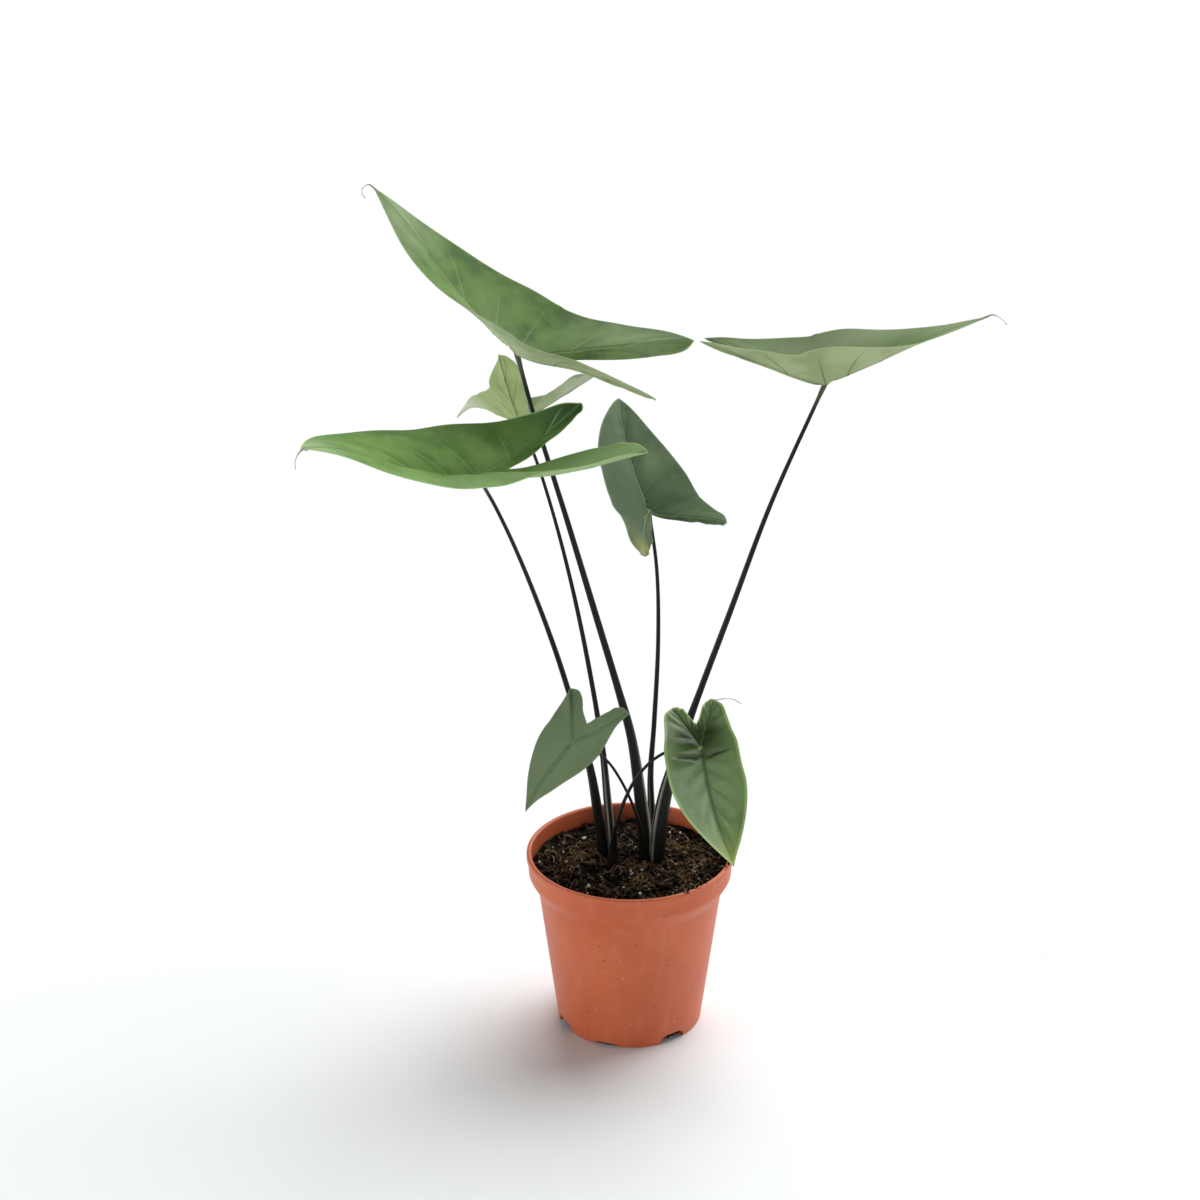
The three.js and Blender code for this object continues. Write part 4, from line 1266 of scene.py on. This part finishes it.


# Each blade's shade patches are painted shade in its hollows, creases and turned-away lobes, its sheen
# patches are painted sheen, and its yellow patches are real yellowing.
LEAVES = [
    Leaf("high_left",
         Blade(joint=(-63, 12, 412.5), heading=157.2, climb=30.9, roll=11.3,
               tip_length=120.5, half_width=49, lobe_length=99.5, lobe_spread=40,
               fullness=0.34, lobe_widths=(0.67, 0.35, 0.15), inner_widths=(0.17, 0.4), sinus=0.035,
               folds=(21.5, -5, 24.5, 47.5), arch=(57, -49.5),
               lobe_drop=(-4, 10, -5), drop_length=0.8,
               cup=8, twist=-26, sweep=-3, leafage=Leafage.FRESH, seed=3, wave=0.2,
               patches=(Patch(Tone.HAZY, 104, 0, 26, 18, 0.5), Patch(Tone.HAZY, 6, 14, 30, 20, 0.45),
                        Patch(Tone.HAZY, -60, -46, 40, 22, 0.35)),
               drip=((-2.5, 0, 1.5), (-5.5, 0, 0), (-6.5, 0, -3.5), (-4.5, 0, -6.5))),
         Stalk(route=((9, 12, 108), (6, 12, 138), (1, 12, 174), (-7, 12, 206), (-19, 12, 250),
                      (-36, 12, 312), (-55, 12, 379)),
               girth=(4.4, 2.1, 1.2))),
    Leaf("right",
         Blade(joint=(106.5, 10.5, 395), heading=-3.4, climb=22.7, roll=-11.3,
               tip_length=97, half_width=35, lobe_length=80, lobe_spread=45.5,
               fullness=-0.26, lobe_widths=(0.57, 0.29, 0.13), inner_widths=(0.09, 0.13), sinus=0.035,
               folds=(37.5, 3.5, 31.5, 53.5), arch=(17, -18.5),
               lobe_drop=(-5.5, 5.5, 1), drop_length=0.45,
               cup=8.5, twist=22.5, sweep=-4, leafage=Leafage.FRESH, seed=5, wave=0.2,
               patches=(Patch(Tone.HAZY, 88, 0, 30, 20, 0.75), Patch(Tone.HAZY, 20, 24, 50, 18, 0.8),
                        Patch(Tone.HAZY, -34, 42, 34, 16, 0.35)),
               drip=((2.5, 0, 0.8), (6.5, 0, -0.9), (10.5, 0, -5))),
         Stalk(route=((16, 4, 109), (20, 5, 141), (29, 6, 174), (40, 6, 209), (56, 7, 257), (78, 9, 323)),
               girth=(5, 1.9, 1.1))),
    Leaf("front_left",
         Blade(joint=(-82.5, -72, 374.5), heading=206.5, climb=0.8, roll=-1.7,
               tip_length=117.5, half_width=44.5, lobe_length=92, lobe_spread=26.5,
               fullness=2.35, lobe_widths=(0.56, 0.3, 0.15), inner_widths=(0.95, 0.52), sinus=0.15,
               folds=(33, 4, 45.5, -4.5), arch=(101.5, -92),
               lobe_drop=(25.5, 21, -5), drop_length=0.8,
               cup=-32.5, twist=-2, sweep=23.5, leafage=Leafage.BRIGHT, seed=8, wave=0.3,
               vein_lean=0.12,
               patches=(Patch(Tone.DEEP, -76, -34, 30, 24, 1.0), Patch(Tone.HAZY, 20, 36, 60, 14, 0.25),
                        Patch(Tone.HAZY, -60, 30, 40, 20, 0.7), Patch(Tone.HAZY, 112, 0, 20, 18, 0.75)),
               drip=((-1.5, -0.5, -3), (-3, -1, -7), (-3, -1, -11))),
         Stalk(route=((-16, 8, 107), (-19, 5, 132), (-23, 0, 161), (-32, -9, 203), (-43, -22, 249),
                      (-60, -44, 310), (-73, -61, 350)),
               girth=(3.2, 1.7, 1))),
    Leaf("back",
         Blade(joint=(10.5, 39, 306), heading=109, climb=19.2, roll=7,
               tip_length=98, half_width=29, lobe_length=55.5, lobe_spread=38,
               fullness=0.89, lobe_widths=(0.69, 0.41, 0.22), inner_widths=(0.69, 0.25), sinus=0.035,
               folds=(24, 12, 13, 40.5), arch=(46.5, -65),
               lobe_drop=(-3, 24, -21), drop_length=1,
               cup=-2, twist=-10.5, sweep=-23.5, leafage=Leafage.GREY, seed=12, columns=84, rows=28,
               patches=(Patch(Tone.YELLOW, -42, 30, 8, 7, 0.55), Patch(Tone.HAZY, 34, -10, 12, 6, 0.4),
                        Patch(Tone.DEEP, 10, 20, 80, 19, 0.85), Patch(Tone.DEEP, -6, -6, 16, 14, 0.4))),
         Stalk(route=((13, 23, 112), (12, 25, 144), (14, 28, 178), (16, 32, 228), (15, 36, 270)),
               girth=(2.4, 1.5, 1))),
    Leaf("pale_left",
         Blade(joint=(-64, 60, 354), heading=120.4, climb=-24.8, roll=15,
               tip_length=80.5, half_width=24, lobe_length=55, lobe_spread=34,
               fullness=-0.24, lobe_widths=(0.69, 0.46, 0.19), inner_widths=(1.08, 1.59), sinus=0.17,
               folds=(43, 31, 82, 21.5), arch=(87.5, -116.5),
               lobe_drop=(38, 20.5, -4), drop_length=0.45,
               cup=-10.5, twist=0, sweep=3, leafage=Leafage.PALE, seed=15, columns=72, rows=26, wave=0.3,
               patches=(Patch(Tone.HAZY, 70, 0, 26, 22, 0.8), Patch(Tone.HAZY, -32, -26, 26, 16, 0.7))),
         Stalk(route=((-11, 17, 105), (-13, 21, 129), (-16, 27, 160), (-22, 33, 199), (-32, 42, 250),
                      (-44, 51, 298), (-55, 57, 333)),
               girth=(2.6, 1.5, 0.9))),
    Leaf("low_left",
         Blade(joint=(-32.5, -48, 202.5), heading=231.9, climb=-24, roll=-12.8,
               tip_length=54, half_width=18.5, lobe_length=36.5, lobe_spread=37,
               fullness=0.27, lobe_widths=(0.63, 0.31, 0.12), inner_widths=(1.27, 1.02), sinus=0.26,
               folds=(8.5, -8.5, 47.5, 6), arch=(11.5, -10.5),
               lobe_drop=(26, -3.5, 8), drop_length=0.45,
               cup=-2.5, twist=-4, sweep=17.5, leafage=Leafage.GREY, seed=21, columns=72, rows=26, wave=0.25,
               quilt=0.1, vein_lean=0.1, patches=(Patch(Tone.HAZY, 20, 0, 70, 50, 0.5),)),
         Stalk(route=((8, 1, 106), (6, -4, 125), (1, -12, 145), (-6, -24, 167), (-14, -37, 186),
                      (-23, -44, 196.5)),
               girth=(2.5, 0.85, 0.75), approach=5)),
    Leaf("low_right",
         Blade(joint=(39, -34, 192), heading=280.6, climb=-38.2, roll=9.4,
               tip_length=74, half_width=21.5, lobe_length=32.5, lobe_spread=21.5,
               fullness=3.33, lobe_widths=(0.73, 0.48, 0.29), inner_widths=(0.62, 0.65), sinus=0.21,
               folds=(17.5, 16.5, 12.5, -3.5), arch=(15.5, -27.5),
               lobe_drop=(-5.5, -15, -4), drop_length=0.8,
               cup=-2, twist=-37, sweep=17, leafage=Leafage.PUCKERED, seed=27, columns=110,
               rows=34, veins=12, quilt=0.8, crease=(7, 1.4), wave=0.4, margin_width=0.8,
               # painted shade in the bowl between the lobes and along the crease; painted sheen below it
               patches=(Patch(Tone.DEEP, -6, 7, 12, 11, 0.85), Patch(Tone.DEEP, -6, -7, 12, 11, 0.85),
                        Patch(Tone.DEEP, 6.5, 9, 1.5, 8, 0.8), Patch(Tone.DEEP, 6.5, -9, 1.5, 8, 0.8),
                        Patch(Tone.HAZY, 26, 2, 20, 12, 0.3), Patch(Tone.YELLOW, 70, 0, 12, 10, 0.8)),
               lobe_drip=((4, -1, 0.3), (8.5, -1, 0.8), (12, -1, 0.2), (16, -1, -2.4))),
         Stalk(route=((-10, -8, 111), (-8, -17, 134), (-3, -23, 154), (4, -28, 171), (14, -31, 184),
                      (26, -31, 190)),
               girth=(3.6, 1.1, 0.8), approach=5)),
]


@dataclass(frozen=True)
class Pot:
    """The nursery pot: a tapering wall, a flared shoulder, a rolled lip and a notched foot ring."""

    height: float = 108.0
    rim_radius: float = 60.0
    foot_radius: float = 42.0
    wall: float = 1.5
    wall_top: float = 86.5
    wall_top_radius: float = 53.4
    flare: tuple[tuple[float, float], ...] = ((1.3, 1.2), (2.9, 3.7), (4.3, 6.3), (5.4, 9.1))
    lip_height: float = 4.6
    lip_width: float = 2.8
    floor_underside: float = 3.5
    floor_top: float = 5.1
    foot_ring_width: float = 3.0
    pad_radius: float = 14.0
    sides: int = 192
    deep_notches: tuple[float, ...] = (-54, 81, 205)
    shallow_notches: tuple[float, ...] = (21, 141, 250)
    notch_width: float = 16.5
    notch_reach: float = 13.0
    deep_notch: float = 5.6
    shallow_notch: float = 2.2

    def profile(self) -> np.ndarray:
        """The pot's section as radius and height, from the middle of its underside to that of its floor.

        Above the wall a low bead starts the flare, which is a smooth curve through its corners. The lip is
        rounded by arcs.
        """
        ring = self.foot_radius - self.foot_ring_width
        lip_bottom = self.height - self.lip_height
        top, edge = self.wall_top, self.wall_top_radius
        floor_radius = self.foot_radius + (edge - self.foot_radius) * self.floor_top / top
        neck = edge + self.flare[-1][0]
        corners = [(edge + 0.4, top + 0.1), *((edge + out, top + up) for out, up in self.flare),
                   (neck + 0.2, lip_bottom - 0.6)]
        flare = rail([np.array(corner) for corner in corners], np.linspace(0, 1, 31))
        underside = [(0, 0.2), (self.pad_radius - 0.6, 0.2), (self.pad_radius, 0.8),
                     (self.pad_radius, self.floor_underside), (ring, self.floor_underside), (ring, 0.4),
                     (ring + 0.4, 0)]
        outside = [(self.foot_radius - 0.5, 0), (self.foot_radius, 0.5), (edge - 0.05, top - 0.6),
                   (edge + 0.25, top - 0.3), *flare,
                   (neck + 0.5, lip_bottom - 0.1), (self.rim_radius - 0.5, lip_bottom),
                   (self.rim_radius - 0.1, lip_bottom + 0.35), (self.rim_radius, lip_bottom + 0.9),
                   (self.rim_radius, self.height - 1.6)]
        turn = np.radians(np.linspace(0, 90, 6))
        lip = [(self.rim_radius - 1.4 + 1.4 * np.cos(a), self.height - 1.4 + 1.4 * np.sin(a)) for a in turn]
        inner_edge = self.rim_radius - self.lip_width + 1.2
        inner = [(inner_edge - 1.2 * np.sin(a), self.height - 1.2 + 1.2 * np.cos(a)) for a in turn]
        inside = [(neck - self.wall, top + self.flare[-1][1]),
                  *((edge + out - self.wall, top + up) for out, up in self.flare[-2::-1]),
                  (edge - self.wall, top), (floor_radius - self.wall, self.floor_top + 1),
                  (floor_radius - self.wall - 1, self.floor_top), (0, self.floor_top)]
        return np.array(underside + outside + lip + inner + inside, float)

    def shell(self) -> Shell:
        """The profile turned about the upright axis, with its two ends as poles."""
        profile = self.profile()
        length = np.concatenate([[0], np.cumsum(np.linalg.norm(np.diff(profile, axis=0), axis=1))])
        fine = np.unique(np.concatenate([length, np.arange(0, length[-1], 4.0)]))
        radius = np.interp(fine, length, profile[:, 0])[1:-1, None]
        level = np.interp(fine, length, profile[:, 1])[1:-1, None]
        rings = round_grid(radius, level, self.sides)
        start, end = (np.array([0, 0, profile[row, 1]]) for row in (0, -1))
        return closed_rings(rings, start, end)

    def notch_cutter(self, angle: float, height: float) -> bpy.types.Object:
        """A block with a sloping corner that cuts one notch through the foot ring.

        Args:
            angle: where the notch's middle is, seen from above.
            height: how high the notch is.

        Returns:
            The block, as an object that is removed after the cut.
        """
        half = self.notch_width / 2
        outline = np.array([(-half, -3), (half, -3), (half, 0.62 * height), (half - 0.5, 0.72 * height),
                            (half - 2.4, 0.78 * height), (half - 2.9, height), (-half + 4.4, height),
                            (-half + 2.2, 0.8 * height), (-half, 0.2 * height)])
        turn = np.radians(angle)
        out, along = np.array([np.cos(turn), np.sin(turn), 0]), np.array([-np.sin(turn), np.cos(turn), 0])
        ends = [self.foot_radius + shift * self.notch_reach / 2 for shift in (-1, 1)]
        rings = [out * end + along * outline[:, :1] + np.array([0, 0, 1]) * outline[:, 1:] for end in ends]
        count = len(outline)
        sides = grid_faces(2, count, round_columns=True)
        points = np.concatenate(rings)
        mesh = bpy.data.meshes.new("notch_cutter")
        faces = [*sides.tolist(), list(range(count))[::-1], list(range(count, 2 * count))]
        mesh.from_pydata((points * METRES_PER_MM).tolist(), [], faces)
        mesh.update()
        cutter = bpy.data.objects.new("notch_cutter", mesh)
        bpy.context.scene.collection.objects.link(cutter)
        return cutter

    def build(self, plastic: bpy.types.Material) -> None:
        """Turns the pot and cuts its notches.

        Args:
            plastic: its finish.
        """
        pot = self.shell().piece("pot_moulding", "pot_plastic", plastic, ("pot",))
        cutters = [self.notch_cutter(angle, self.deep_notch) for angle in self.deep_notches]
        cutters += [self.notch_cutter(angle, self.shallow_notch) for angle in self.shallow_notches]
        for cutter in cutters:
            cut = pot.modifiers.new(cutter.name, "BOOLEAN")
            cut.operation = "DIFFERENCE"
            cut.solver = "EXACT"
            cut.object = cutter
        made = pot.evaluated_get(bpy.context.evaluated_depsgraph_get())
        notched = bpy.data.meshes.new_from_object(made)
        pot.modifiers.clear()
        pot.data = notched
        for cutter in cutters:
            bpy.data.objects.remove(cutter)
        notched.set_sharp_from_angle(angle=np.radians(38))


@dataclass(frozen=True)
class Soil:
    """The potting soil: a crumbly bed with crumbs, tufts and single fibres, bark and white grains on it."""

    level: float = 97.5
    mound: float = 3.5
    surface_radius: float = 57.0
    wall: tuple[tuple[float, float], ...] = (
        (57.0, 95.6), (55.9, 92.8), (54.5, 90.2), (52.9, 87.7), (51.6, 86.5), (40.9, 5.4))
    tufts: tuple[tuple[float, float], ...] = (
        (-30, 14), (-26, 2), (-38, -6), (40, 14), (42, -2), (30, -18), (6, -6), (8, -24), (-10, -34),
        (26, 20))
    rings: int = 92
    sides: int = 360
    seed: int = 41

    CRUMBS = 1500
    RIM = (57.6, 59.9)
    RIM_LEVEL = 108.05
    RIM_HEAPS = ((-52, 3.5, 16), (-14, 4, 14))
    WHITE_GRAINS = 74
    SLIVERS = 90
    LOOSE_FIBRES = 120
    FIBRES_IN_TUFT = 20
    TUFT_SPREAD = 3.6

    def height(self, x: np.ndarray, y: np.ndarray) -> np.ndarray:
        """The height of the bed: the level, a mound towards the middle, and relief of four sizes of lumps.

        Args:
            x, y: the place on the bed.

        Returns:
            The height there.
        """
        share = np.hypot(x, y) / self.surface_radius
        mound = self.mound * (1 - ease(share, 0.1, 0.9))
        relief = Relief(self.seed).layers(x, y, {13.0: 1.6, 5.6: 1.9, 2.6: 1.2, 1.2: 0.5})
        return self.level + mound + relief * (1 - 0.6 * ease(share, 0.92, 1.0))

    def bed(self) -> Shell:
        """The soil's body: a polar grid for its surface, then straight down the pot's wall to the floor."""
        share = (np.arange(1, self.rings + 1) / self.rings)[:, None]
        top = round_grid(share * self.surface_radius, 0 * share, self.sides)
        top[..., 2] = self.height(top[..., 0], top[..., 1])
        wall_radius, wall_level = (np.array(column)[:, None] for column in zip(*self.wall))
        walls = round_grid(wall_radius, wall_level, self.sides)
        start = np.array([0, 0, self.height(np.zeros(1), np.zeros(1))[0]])
        end = np.array([0, 0, self.wall[-1][1]])
        return closed_rings(np.concatenate([top, walls]), start, end, turned=True)

    def scatter(self, draw: np.random.Generator, count: int,
                inner: float = 0.0) -> tuple[np.ndarray, np.ndarray]:
        """Random places on the bed, evenly spread over its area.

        Args:
            draw: the source of random numbers.
            count: how many places.
            inner: the radius that they stay outside of.

        Returns:
            Their x and y.
        """
        outer = self.surface_radius - 1.5
        radius = np.sqrt(draw.uniform(inner ** 2, outer ** 2, count))
        turn = draw.uniform(0, 2 * np.pi, count)
        return radius * np.cos(turn), radius * np.sin(turn)

    @staticmethod
    def grains(draw: np.random.Generator, centres: np.ndarray, sizes: np.ndarray, lump: float) -> Shell:
        """Small lumps: one twenty-sided ball, stretched, turned and dented differently for each.

        Args:
            draw: the source of random numbers.
            centres: their middles, n by 3.
            sizes: their three half widths, n by 3.
            lump: how uneven each is, as a share of its size.

        Returns:
            All of them as one shell of closed lumps.
        """
        golden = (1 + 5 ** 0.5) / 2
        ball = np.array([(0, a, b * golden) for a in (-1, 1) for b in (-1, 1)], float)
        ball = unit(np.concatenate([ball, np.roll(ball, 1, axis=1), np.roll(ball, 2, axis=1)]))
        reach = np.linalg.norm(ball[:, None] - ball[None], axis=-1)
        near = (reach > 0) & (reach < 1.2)
        faces = np.array([(a, b, c) for a in range(12) for b in range(a + 1, 12) for c in range(b + 1, 12)
                          if near[a, b] and near[b, c] and near[a, c]])
        a, b, c = (ball[faces[:, k]] for k in range(3))
        inward = np.sum(np.cross(b - a, c - a) * a, axis=1) < 0
        faces[inward] = faces[inward][:, ::-1]
        count = len(centres)
        turns, _ = np.linalg.qr(draw.normal(size=(count, 3, 3)))
        turns[:, :, 0] *= np.sign(np.linalg.det(turns))[:, None]
        dents = 1 + lump * draw.uniform(-1, 1, (count, 12, 1))
        points = (ball[None] * dents * sizes[:, None]) @ np.swapaxes(turns, 1, 2) + centres[:, None]
        numbered = faces[None] + 12 * np.arange(count)[:, None, None]
        return Shell(points.reshape(-1, 3), [numbered.reshape(-1, 3)])

    def crumbs(self) -> Shell:
        """Crumbs of peat on the bed, with two loose heaps on the pot's rim and just inside it.

        RIM_HEAPS gives the angle of each heap's middle, its spread in degrees and how many crumbs it has.

        Returns:
            All the crumbs as one shell.
        """
        draw = np.random.default_rng(self.seed + 1)
        x, y = self.scatter(draw, self.CRUMBS)
        size = draw.uniform(0.4, 1.1, len(x)) * draw.choice([1, 1.7, 2.8], len(x), p=[0.5, 0.34, 0.16])
        z = self.height(x, y) + size * 0.25
        sizes = size[:, None] * draw.uniform(0.6, 1.2, (len(x), 3))
        bed = self.grains(draw, np.stack([x, y, z], axis=1), sizes, 0.25)
        turn = np.radians(np.concatenate([draw.normal(*heap) for heap in self.RIM_HEAPS]))
        radius = draw.uniform(*self.RIM, len(turn))
        on_rim = np.stack([radius * np.cos(turn), radius * np.sin(turn), self.RIM_LEVEL + 0 * turn], axis=1)
        size = draw.uniform(0.3, 0.9, len(turn))
        rim = self.grains(draw, on_rim, size[:, None] * draw.uniform(0.6, 1.2, (len(turn), 3)), 0.25)
        return join([bed, rim])

    def white_grains(self) -> Shell:
        """Grains of expanded white mineral, half sunk in the bed."""
        draw = np.random.default_rng(self.seed + 2)
        x, y = self.scatter(draw, self.WHITE_GRAINS, inner=12)
        size = draw.uniform(0.35, 0.8, len(x)) * draw.choice([1, 1.7], len(x), p=[0.75, 0.25])
        middles = np.stack([x, y, self.height(x, y) + 0.5 + size * 0.55], axis=1)
        return self.grains(draw, middles, size[:, None] * draw.uniform(0.8, 1.2, (len(x), 3)), 0.2)

    def bark(self) -> Shell:
        """Slivers of wood and bark that lie flat on the bed."""
        draw = np.random.default_rng(self.seed + 3)
        x, y = self.scatter(draw, self.SLIVERS, inner=8)
        halves = [draw.uniform(low, high, len(x)) for low, high in ((1.2, 3.4), (0.35, 0.7), (0.2, 0.4))]
        sizes = np.stack(halves, axis=1)
        return self.grains(draw, np.stack([x, y, self.height(x, y) + 0.8], axis=1), sizes, 0.15)

    def fibres(self, draw: np.random.Generator, x: np.ndarray, y: np.ndarray, longest: float) -> Shell:
        """Curly fibres: thin tubes whose heading wanders as they run over the bed.

        The heading of a fibre is start + bend * s + a slow sine of s, and it lifts off the bed by a low hump.

        Args:
            draw: the source of random numbers.
            x, y: where they start.
            longest: the length of the longest.

        Returns:
            All the fibres as one shell.
        """
        count, steps, sides = len(x), 11, 4
        s = np.linspace(0, 1, steps)[None]
        length = draw.uniform(5, longest, (count, 1))
        bend = draw.uniform(-6.5, 6.5, (count, 1))
        heading = draw.uniform(0, 2 * np.pi, (count, 1)) + bend * s + 0.6 * np.sin(7 * s + bend)
        stride = length / (steps - 1)
        x = x[:, None] + np.cumsum(np.cos(heading) * stride, axis=1)
        y = y[:, None] + np.cumsum(np.sin(heading) * stride, axis=1)
        far = np.maximum(np.hypot(x, y) / (self.surface_radius - 1.2), 1)
        x, y = x / far, y / far
        lift = 0.9 + draw.uniform(0.3, 2.8, (count, 1)) * np.sin(np.pi * s)
        centres = np.stack([x, y, self.height(x, y) + lift], axis=-1)
        radius = draw.uniform(0.16, 0.4, (count, 1)) * (1 - 0.5 * s)
        a = np.linspace(0, 2 * np.pi, sides, endpoint=False)
        offsets = np.stack([radius[..., None] * np.cos(a), radius[..., None] * np.sin(a)], axis=-1)
        upward = np.broadcast_to(np.array([0.0, 0.0, 1.0]), (steps, 3))
        return join([tube(line, section, upward) for line, section in zip(centres, offsets)])

    def loose_fibres(self) -> Shell:
        """Single fibres, spread over the bed."""
        draw = np.random.default_rng(self.seed + 4)
        return self.fibres(draw, *self.scatter(draw, self.LOOSE_FIBRES, inner=6), longest=19)

    def tufted_fibres(self) -> Shell:
        """Tangles of fibres round the middles that tufts lists."""
        draw = np.random.default_rng(self.seed + 5)
        middles = np.repeat(np.array(self.tufts), self.FIBRES_IN_TUFT, axis=0)
        x, y = (middles + draw.normal(0, self.TUFT_SPREAD, middles.shape)).T
        return self.fibres(draw, x, y, longest=18)

    def notch_shade_lumps(self, notches: tuple[float, ...], radius: float, half: float) -> Shell:
        """Dark peat-coloured lumps set in the pot's notches as painted shade for their dark insides: a row of
        lumps side by side in each.

        Args:
            notches: the angles of the notches.
            radius: how far the lumps' middles are from the pot's axis.
            half: half the size of a lump.

        Returns:
            All the lumps as one shell.
        """
        draw = np.random.default_rng(self.seed + 6)
        shifts = np.arange(-10, 10.1, 2 * half)
        turn = np.radians(np.add.outer(np.array(notches), shifts).ravel())
        x, y = radius * np.cos(turn), radius * np.sin(turn)
        halves = half * draw.uniform(0.9, 1.0, (len(turn), 3))
        return self.grains(draw, np.stack([x, y, 1.12 * half + 0 * x], axis=1), halves, 0.1)

    def build(self, effects: Effects, pot: Pot) -> None:
        """Builds the bed and what lies on it, and the dark lumps that paint the shade inside the pot's
        notches.

        Args:
            effects: the shared node groups.
            pot: the pot that it fills.
        """
        peat = EarthFinish("peat", srgb(10, 7, 4), srgb(38, 27, 18), 300.0).material(effects)
        crumb = EarthFinish("peat_crumbs", srgb(14, 10, 7), srgb(72, 54, 37), 210.0)
        coir = EarthFinish("coir", srgb(84, 62, 42), srgb(150, 122, 88), 300.0, roughness=0.8)
        straw = EarthFinish("straw", srgb(112, 90, 62), srgb(184, 160, 122), 220.0, roughness=0.75)
        chips = EarthFinish("bark_chips", srgb(80, 58, 40), srgb(150, 122, 90), 500.0, roughness=0.85)
        white = EarthFinish("white_mineral", srgb(216, 212, 200), srgb(246, 244, 238), 700.0, bump=0.4)
        self.bed().piece("soil_bed", "soil", peat, ("soil",))
        self.crumbs().piece("soil_crumbs", "soil", crumb.material(effects))
        # painted shade: dark lumps fill the notches, whose insides lie in shade
        notch_shade_lumps = [self.notch_shade_lumps(pot.deep_notches, pot.foot_radius - 4.2, 2.45),
                 self.notch_shade_lumps(pot.shallow_notches, pot.foot_radius - 1.8, 0.95)]
        join(notch_shade_lumps).piece("painted_shade_in_notches", "soil", peat)
        loose = {"tufts": (self.tufted_fibres, coir), "fibres": (self.loose_fibres, straw),
                 "bark": (self.bark, chips), "white_grains": (self.white_grains, white)}
        for name, (shape, finish) in loose.items():
            shape().piece(f"soil_{name}", "soil", finish.material(effects))


@dataclass(frozen=True)
class Studio:
    """The plain pale floor, the soft light and the camera."""

    camera_place: Point = (-17.4, -1937.0, 1167.0)
    camera_tilt: float = 65.1
    lens: float = 114.0
    floor_size: float = 9000.0
    floor_colour: Colour = (0.88, 0.905, 0.915, 1)
    surround: float = 0.12
    lamps: tuple[tuple[str, Point, float, float], ...] = (
        ("key_light", (0.33, 0.55, 0.77), 67, 3.4),
        ("low_light", (0.75, 0.57, 0.34), 39, 0.72),
        ("left_light", (-0.95, -0.25, 0.03), 36, 2.1),
        ("right_light", (0.95, -0.1, 0.04), 36, 0.8),
        ("front_light", (0.1, -1, 0.04), 40, 1.12))

    def build(self) -> None:
        """Sets up the camera, the floor, the lights and the even white surround."""
        scene = bpy.context.scene
        camera = bpy.data.cameras.new("camera")
        camera.lens = self.lens
        camera.sensor_width = 36.0
        eye = bpy.data.objects.new("camera", camera)
        eye.location = [METRES_PER_MM * value for value in self.camera_place]
        eye.rotation_euler = (np.radians(self.camera_tilt), 0, 0)
        scene.collection.objects.link(eye)
        scene.camera = eye

        half = self.floor_size / 2 * METRES_PER_MM
        mesh = bpy.data.meshes.new("floor")
        corners = [(-half, -half, 0), (half, -half, 0), (half, half, 0), (-half, half, 0)]
        mesh.from_pydata(corners, [], [(0, 1, 2, 3)])
        floor = bpy.data.objects.new("floor", mesh)
        scene.collection.objects.link(floor)
        material, _, shader, _ = new_material("pale_floor")
        shader.inputs["Base Color"].default_value = self.floor_colour
        shader.inputs["Roughness"].default_value = 0.9
        mesh.materials.append(material)

        world = bpy.data.worlds.new("surround")
        world.use_nodes = True
        world.node_tree.nodes["Background"].inputs["Color"].default_value = (1, 1, 1, 1)
        world.node_tree.nodes["Background"].inputs["Strength"].default_value = self.surround
        scene.world = world
        for name, towards, width, strength in self.lamps:
            self.lamp(name, towards, width, strength)
        scene.view_settings.view_transform = "Standard"

    @staticmethod
    def lamp(name: str, towards: Point, width: float, strength: float) -> None:
        """Adds a distant soft light.

        Args:
            name: its name.
            towards: the direction that it stands in, seen from the plant.
            width: the angle that it covers, in degrees.
            strength: its strength in watts per square metre.
        """
        light = bpy.data.lights.new(name, "SUN")
        light.angle = np.radians(width)
        light.energy = strength
        lamp = bpy.data.objects.new(name, light)
        away = unit(np.array(towards))
        lamp.rotation_euler = (np.arccos(away[2]), 0, np.arctan2(away[1], away[0]) + np.pi / 2)
        bpy.context.scene.collection.objects.link(lamp)


def main() -> None:
    """Builds the studio, the pot, the soil and the leaves, in that order."""
    logging.basicConfig(level=logging.INFO, format="%(name)s: %(message)s")
    effects = Effects()
    Studio().build()
    pot = Pot()
    pot.build(PlasticFinish().material(effects))
    Soil().build(effects, pot)
    stalk_skin = StalkFinish().material(effects)
    dry = EarthFinish("dried_thread", srgb(138, 134, 124), srgb(176, 172, 162), 500.0, roughness=0.7)
    dry = dry.material(effects)
    leaf_skins = {leafage: finish.material(effects) for leafage, finish in LEAF_FINISHES.items()}
    for leaf in LEAVES:
        leaf.build(leaf_skins, stalk_skin, dry)


if __name__ == "__main__":
    main()
